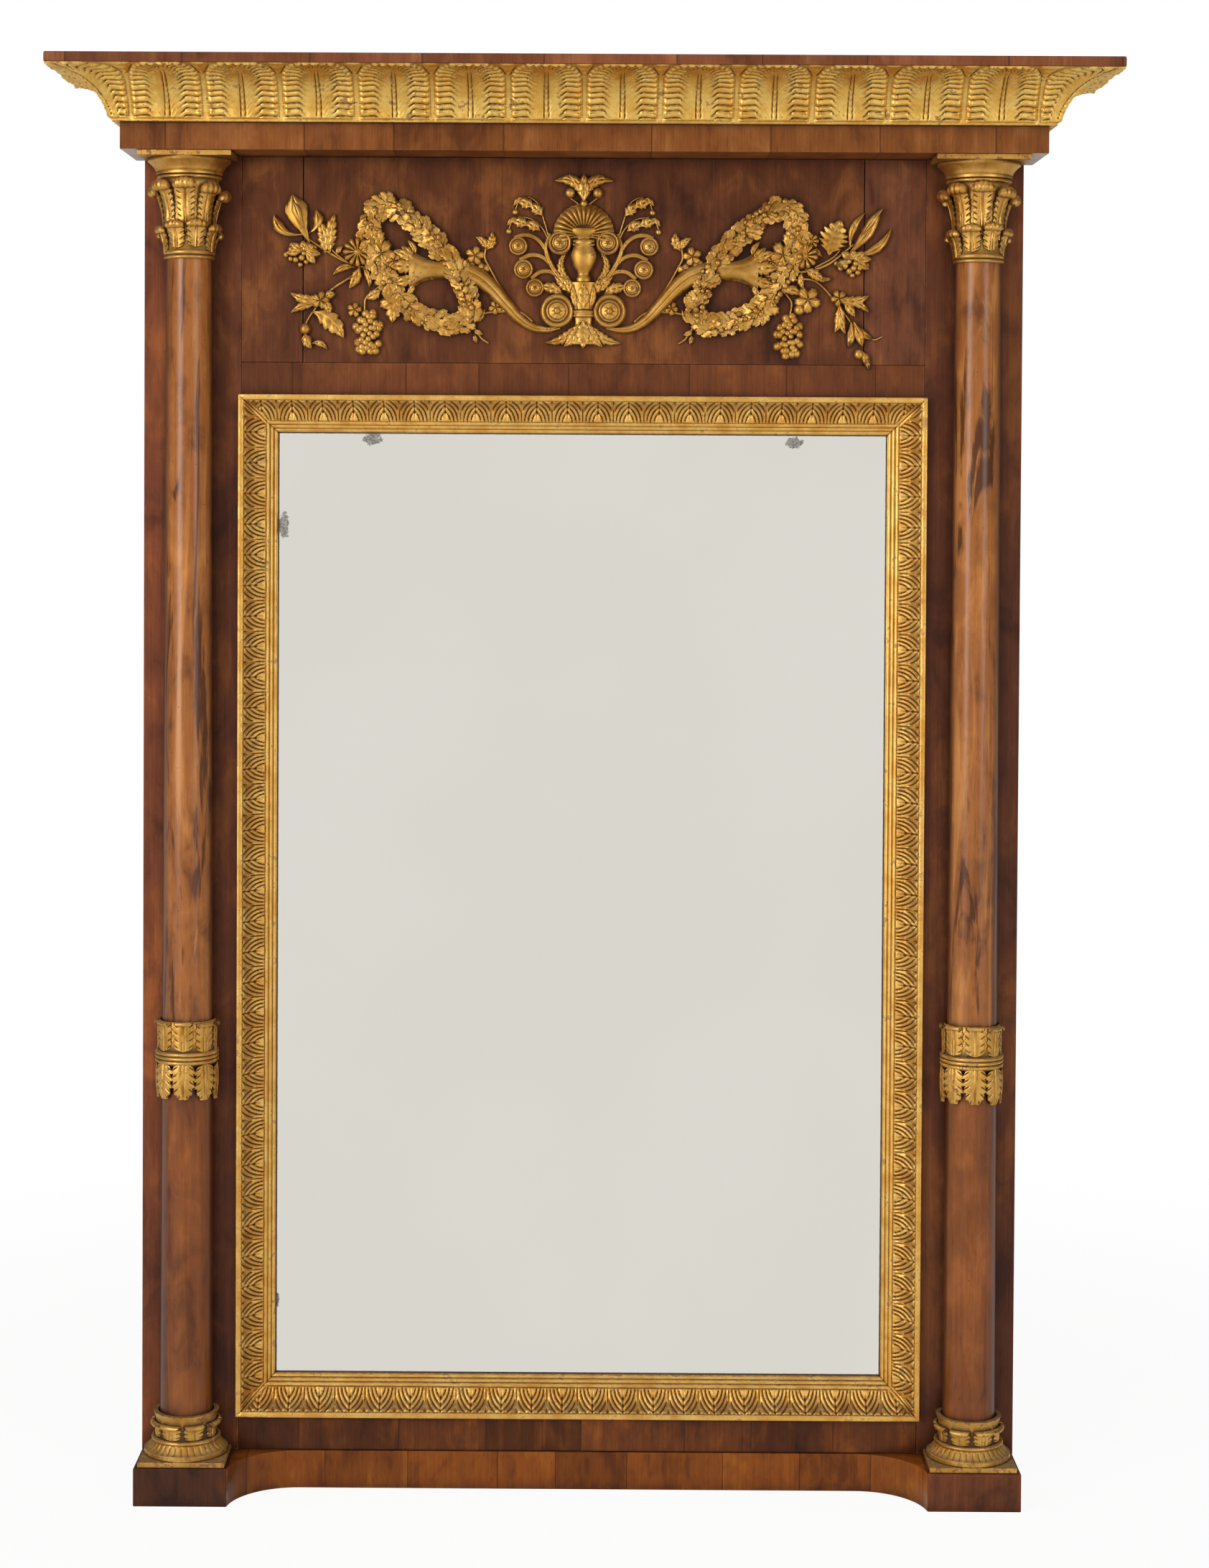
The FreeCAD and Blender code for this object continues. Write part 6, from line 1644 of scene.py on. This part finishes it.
# Back and hanging irons
# Nailed pine boards, a batten and glass blocks close the back; all is dry, darkened pine, never polished.
# Forged straps are screwed to the stiles and each carries a ring that swings in its eye.
def dry_pine(name, shift, across, age=1.0):
    """Unfinished softwood with the grain along X or Z: growth lines, painted shade with dust in the corners,
    and water marks.
    """
    material, tree, surface, place = new_finish(name)
    squash = (0.05, 1.0, 1.0) if across else (1.0, 1.0, 0.05)
    grain = stretched(tree, place, squash, shift)
    rings = noise(tree, grain, 46.0, 3.0, 0.5, 0.8)
    lines = spread(tree, maths(tree, "FRACT", maths(tree, "MULTIPLY", rings, 9.0)), 0.1, 0.9)
    fibre = noise(tree, grain, 420.0, 3.0, 0.6)
    stain = noise(tree, place, 5.0, 4.0, 0.6)
    colour = mixed(tree, lines, tone(138 * age, 98 * age, 60 * age), tone(176 * age, 136 * age, 90 * age))
    colour = stained(tree, colour, spread(tree, fibre, 0.35, 0.65), 0.35, (120, 84, 52))
    colour = stained(tree, colour, spread(tree, stain, 0.50, 0.66), 0.6, (92, 66, 46))
    # painted shade in corners and recesses, with grime there
    shade_and_wear = placed_group(tree, corner_shade_and_grime, {"Vector": place, "Reach": 0.020})
    colour = stained(tree, colour, shade_and_wear["ShadeAndGrime"], 0.7, (52, 38, 28))
    tree.links.new(colour, surface.inputs["Base Color"])
    tree.links.new(spread(tree, stain, 0.3, 0.7, 0.68, 0.86), surface.inputs["Roughness"])
    bumped(tree, surface, fibre, 0.3, 0.0006)
    return material


board_eased, batten_eased, strap_eased = 0.0010, 0.0008, 0.0004
for board, age in enumerate((0.94, 1.06, 0.90, 1.02, 0.97), 1):
    finish = dry_pine(f"backboard_{board}_pine", (0.7 * board, 0.3, 0.37 * board), True, age)
    eased_copy(f"backboard_{board}", board_eased, finish)
for node, drift in (("frieze_batten", 0.4), ("cornice_rail", 1.3), ("glass_blocks", 2.2)):
    eased_copy(node, batten_eased, dry_pine(f"{node}_pine", (drift, 0.2, 0.5), True))


def forged(name, rust):
    """Blacksmith's iron: dark scale, hammer dimples and rust."""
    material, tree, surface, place = new_finish(name)
    hammered = noise(tree, place, 120.0, 2.0, 0.4)
    scale = noise(tree, place, 320.0, 5.0, 0.65)
    rusty = spread(tree, scale, 0.62 - rust, 0.72 - rust)
    tree.links.new(mixed(tree, rusty, tone(58, 56, 54), tone(96, 58, 36)), surface.inputs["Base Color"])
    metal = maths(tree, "SUBTRACT", 0.9, maths(tree, "MULTIPLY", rusty, 0.8))
    tree.links.new(metal, surface.inputs["Metallic"])
    tree.links.new(spread(tree, rusty, 0.0, 1.0, 0.42, 0.85), surface.inputs["Roughness"])
    bumped(tree, surface, hammered, 0.5, 0.0008)
    return material


strap_iron = forged("strap_iron", 0.06)
nail_iron = forged("nail_iron", 0.12)
ring_iron = forged("ring_iron", 0.02)
for side in ("left", "right"):
    eased_copy(f"hanger_strap_{side}", strap_eased, strap_iron)
    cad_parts[f"hanger_ring_{side}"].material_slots[0].material = ring_iron
for node in ("backboard_nails", "hanger_screws"):
    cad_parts[node].material_slots[0].material = nail_iron


# Floor, surround, lights and camera
# A white paper floor and surround, and a white card in front that the plate mirrors.
# Soft boxes stand left, right and overhead, and the camera is set as the photograph was taken.
mirror_dimming = 0.26


def white_paper(name, level, glow):
    """Paper that keeps a soft shadow near the object, glows white away from it and greys in the mirror."""
    material, tree, surface, place = new_finish(name)
    surface.inputs["Base Color"].default_value = (level, level, level, 1.0)
    surface.inputs["Roughness"].default_value = 0.9
    surface.inputs["Specular IOR Level"].default_value = 0.0
    path = add_node(tree, "ShaderNodeLightPath", {}).outputs
    near = spread(tree, vectors(tree, "LENGTH", place), 0.9, 2.2, glow, 1.0)
    mirrored_ray = maths(tree, "MAXIMUM", path["Is Glossy Ray"], path["Is Transmission Ray"])
    seen = maths(tree, "MAXIMUM", mirrored_ray, maths(tree, "MULTIPLY", path["Is Camera Ray"], near))
    strength = maths(tree, "SUBTRACT", 1.0, maths(tree, "MULTIPLY", mirrored_ray, mirror_dimming))
    light = add_node(tree, "ShaderNodeEmission", {"Color": (1.0, 1.0, 1.0, 1.0), "Strength": strength})
    mix = add_node(tree, "ShaderNodeMixShader", {0: seen, 1: surface.outputs[0], 2: light.outputs[0]})
    tree.links.new(mix.outputs[0], tree.nodes["Material Output"].inputs["Surface"])
    return material


def stage_plane(name, corners, material):
    mesh = bpy.data.meshes.new(name)
    mesh.from_pydata(corners, [], [(0, 1, 2, 3)])
    mesh.materials.append(material)
    piece = bpy.data.objects.new(name, mesh)
    bpy.context.scene.collection.objects.link(piece)


floor_corners = [(-12, -12, 0), (12, -12, 0), (12, 12, 0), (-12, 12, 0)]
card_corners = [(-1.6, -7.5, 0), (-1.6, -7.5, 2), (1.6, -7.5, 2), (1.6, -7.5, 0)]
stage_plane("floor", floor_corners, white_paper("floor_white", 0.94, 0.92))
stage_plane("front_card", card_corners, white_paper("card_white", 0.9, 1.0))

studio = bpy.data.worlds.new("studio")
studio.use_nodes = True
room = studio.node_tree
room.nodes["Background"].inputs["Color"].default_value = (1.0, 0.98, 0.95, 1.0)
room_path = add_node(room, "ShaderNodeLightPath", {}).outputs
room_dimming = maths(room, "MULTIPLY", room_path["Is Glossy Ray"], mirror_dimming)
room_level = maths(room, "SUBTRACT", 0.42, room_dimming)
room.links.new(room_level, room.nodes["Background"].inputs["Strength"])
paper = add_node(room, "ShaderNodeBackground", {"Color": (1.0, 1.0, 1.0, 1.0), "Strength": 1.0})
surround = add_node(room, "ShaderNodeMixShader", {
    0: room_path["Is Camera Ray"], 1: room.nodes["Background"].outputs[0], 2: paper.outputs[0]})
room.links.new(surround.outputs[0], room.nodes["World Output"].inputs["Surface"])
bpy.context.scene.world = studio


def soft_box(name, place, aim, width, height, power):
    """A rectangular lamp turned toward what it lights; power in watts."""
    light = bpy.data.lights.new(name, "AREA")
    light.shape = "RECTANGLE"
    light.size, light.size_y = width, height
    light.energy = power
    lamp = bpy.data.objects.new(name, light)
    lamp.location = place
    lamp.rotation_euler = (Vector(aim) - Vector(place)).to_track_quat("-Z", "Y").to_euler()
    bpy.context.scene.collection.objects.link(lamp)


soft_box("key", (-2.6, -2.85, 1.75), (0, 0, 1.0), 1.3, 2.4, 80.0)
soft_box("fill", (2.6, -3.2, 1.5), (0, 0, 1.0), 1.3, 2.2, 40.0)
soft_box("overhead", (0, -1.6, 4.2), (0, 0, 0.9), 3.0, 1.6, 26.0)

photo_height = 2184
focal_pixels = 4100.0
sensor_side = 36.0
frame_shift = (44.0, -319.0)
camera_place = (0.002, face_y - 3.828, 1.311)
camera_down, camera_left, camera_roll = math.radians(1.31), 0.0036, 0.0055
view = bpy.data.cameras.new("camera")
view.sensor_width = sensor_side
view.lens = focal_pixels / photo_height * sensor_side
view.shift_x, view.shift_y = [shift / photo_height for shift in frame_shift]
camera = bpy.data.objects.new("camera", view)
turn = Matrix.Rotation(camera_left, 4, "Z") @ Matrix.Rotation(math.pi / 2 - camera_down, 4, "X")
camera.matrix_world = Matrix.Translation(camera_place) @ turn @ Matrix.Rotation(camera_roll, 4, "Z")
bpy.context.scene.collection.objects.link(camera)
bpy.context.scene.camera = camera
bpy.context.scene.view_settings.view_transform = "Standard"
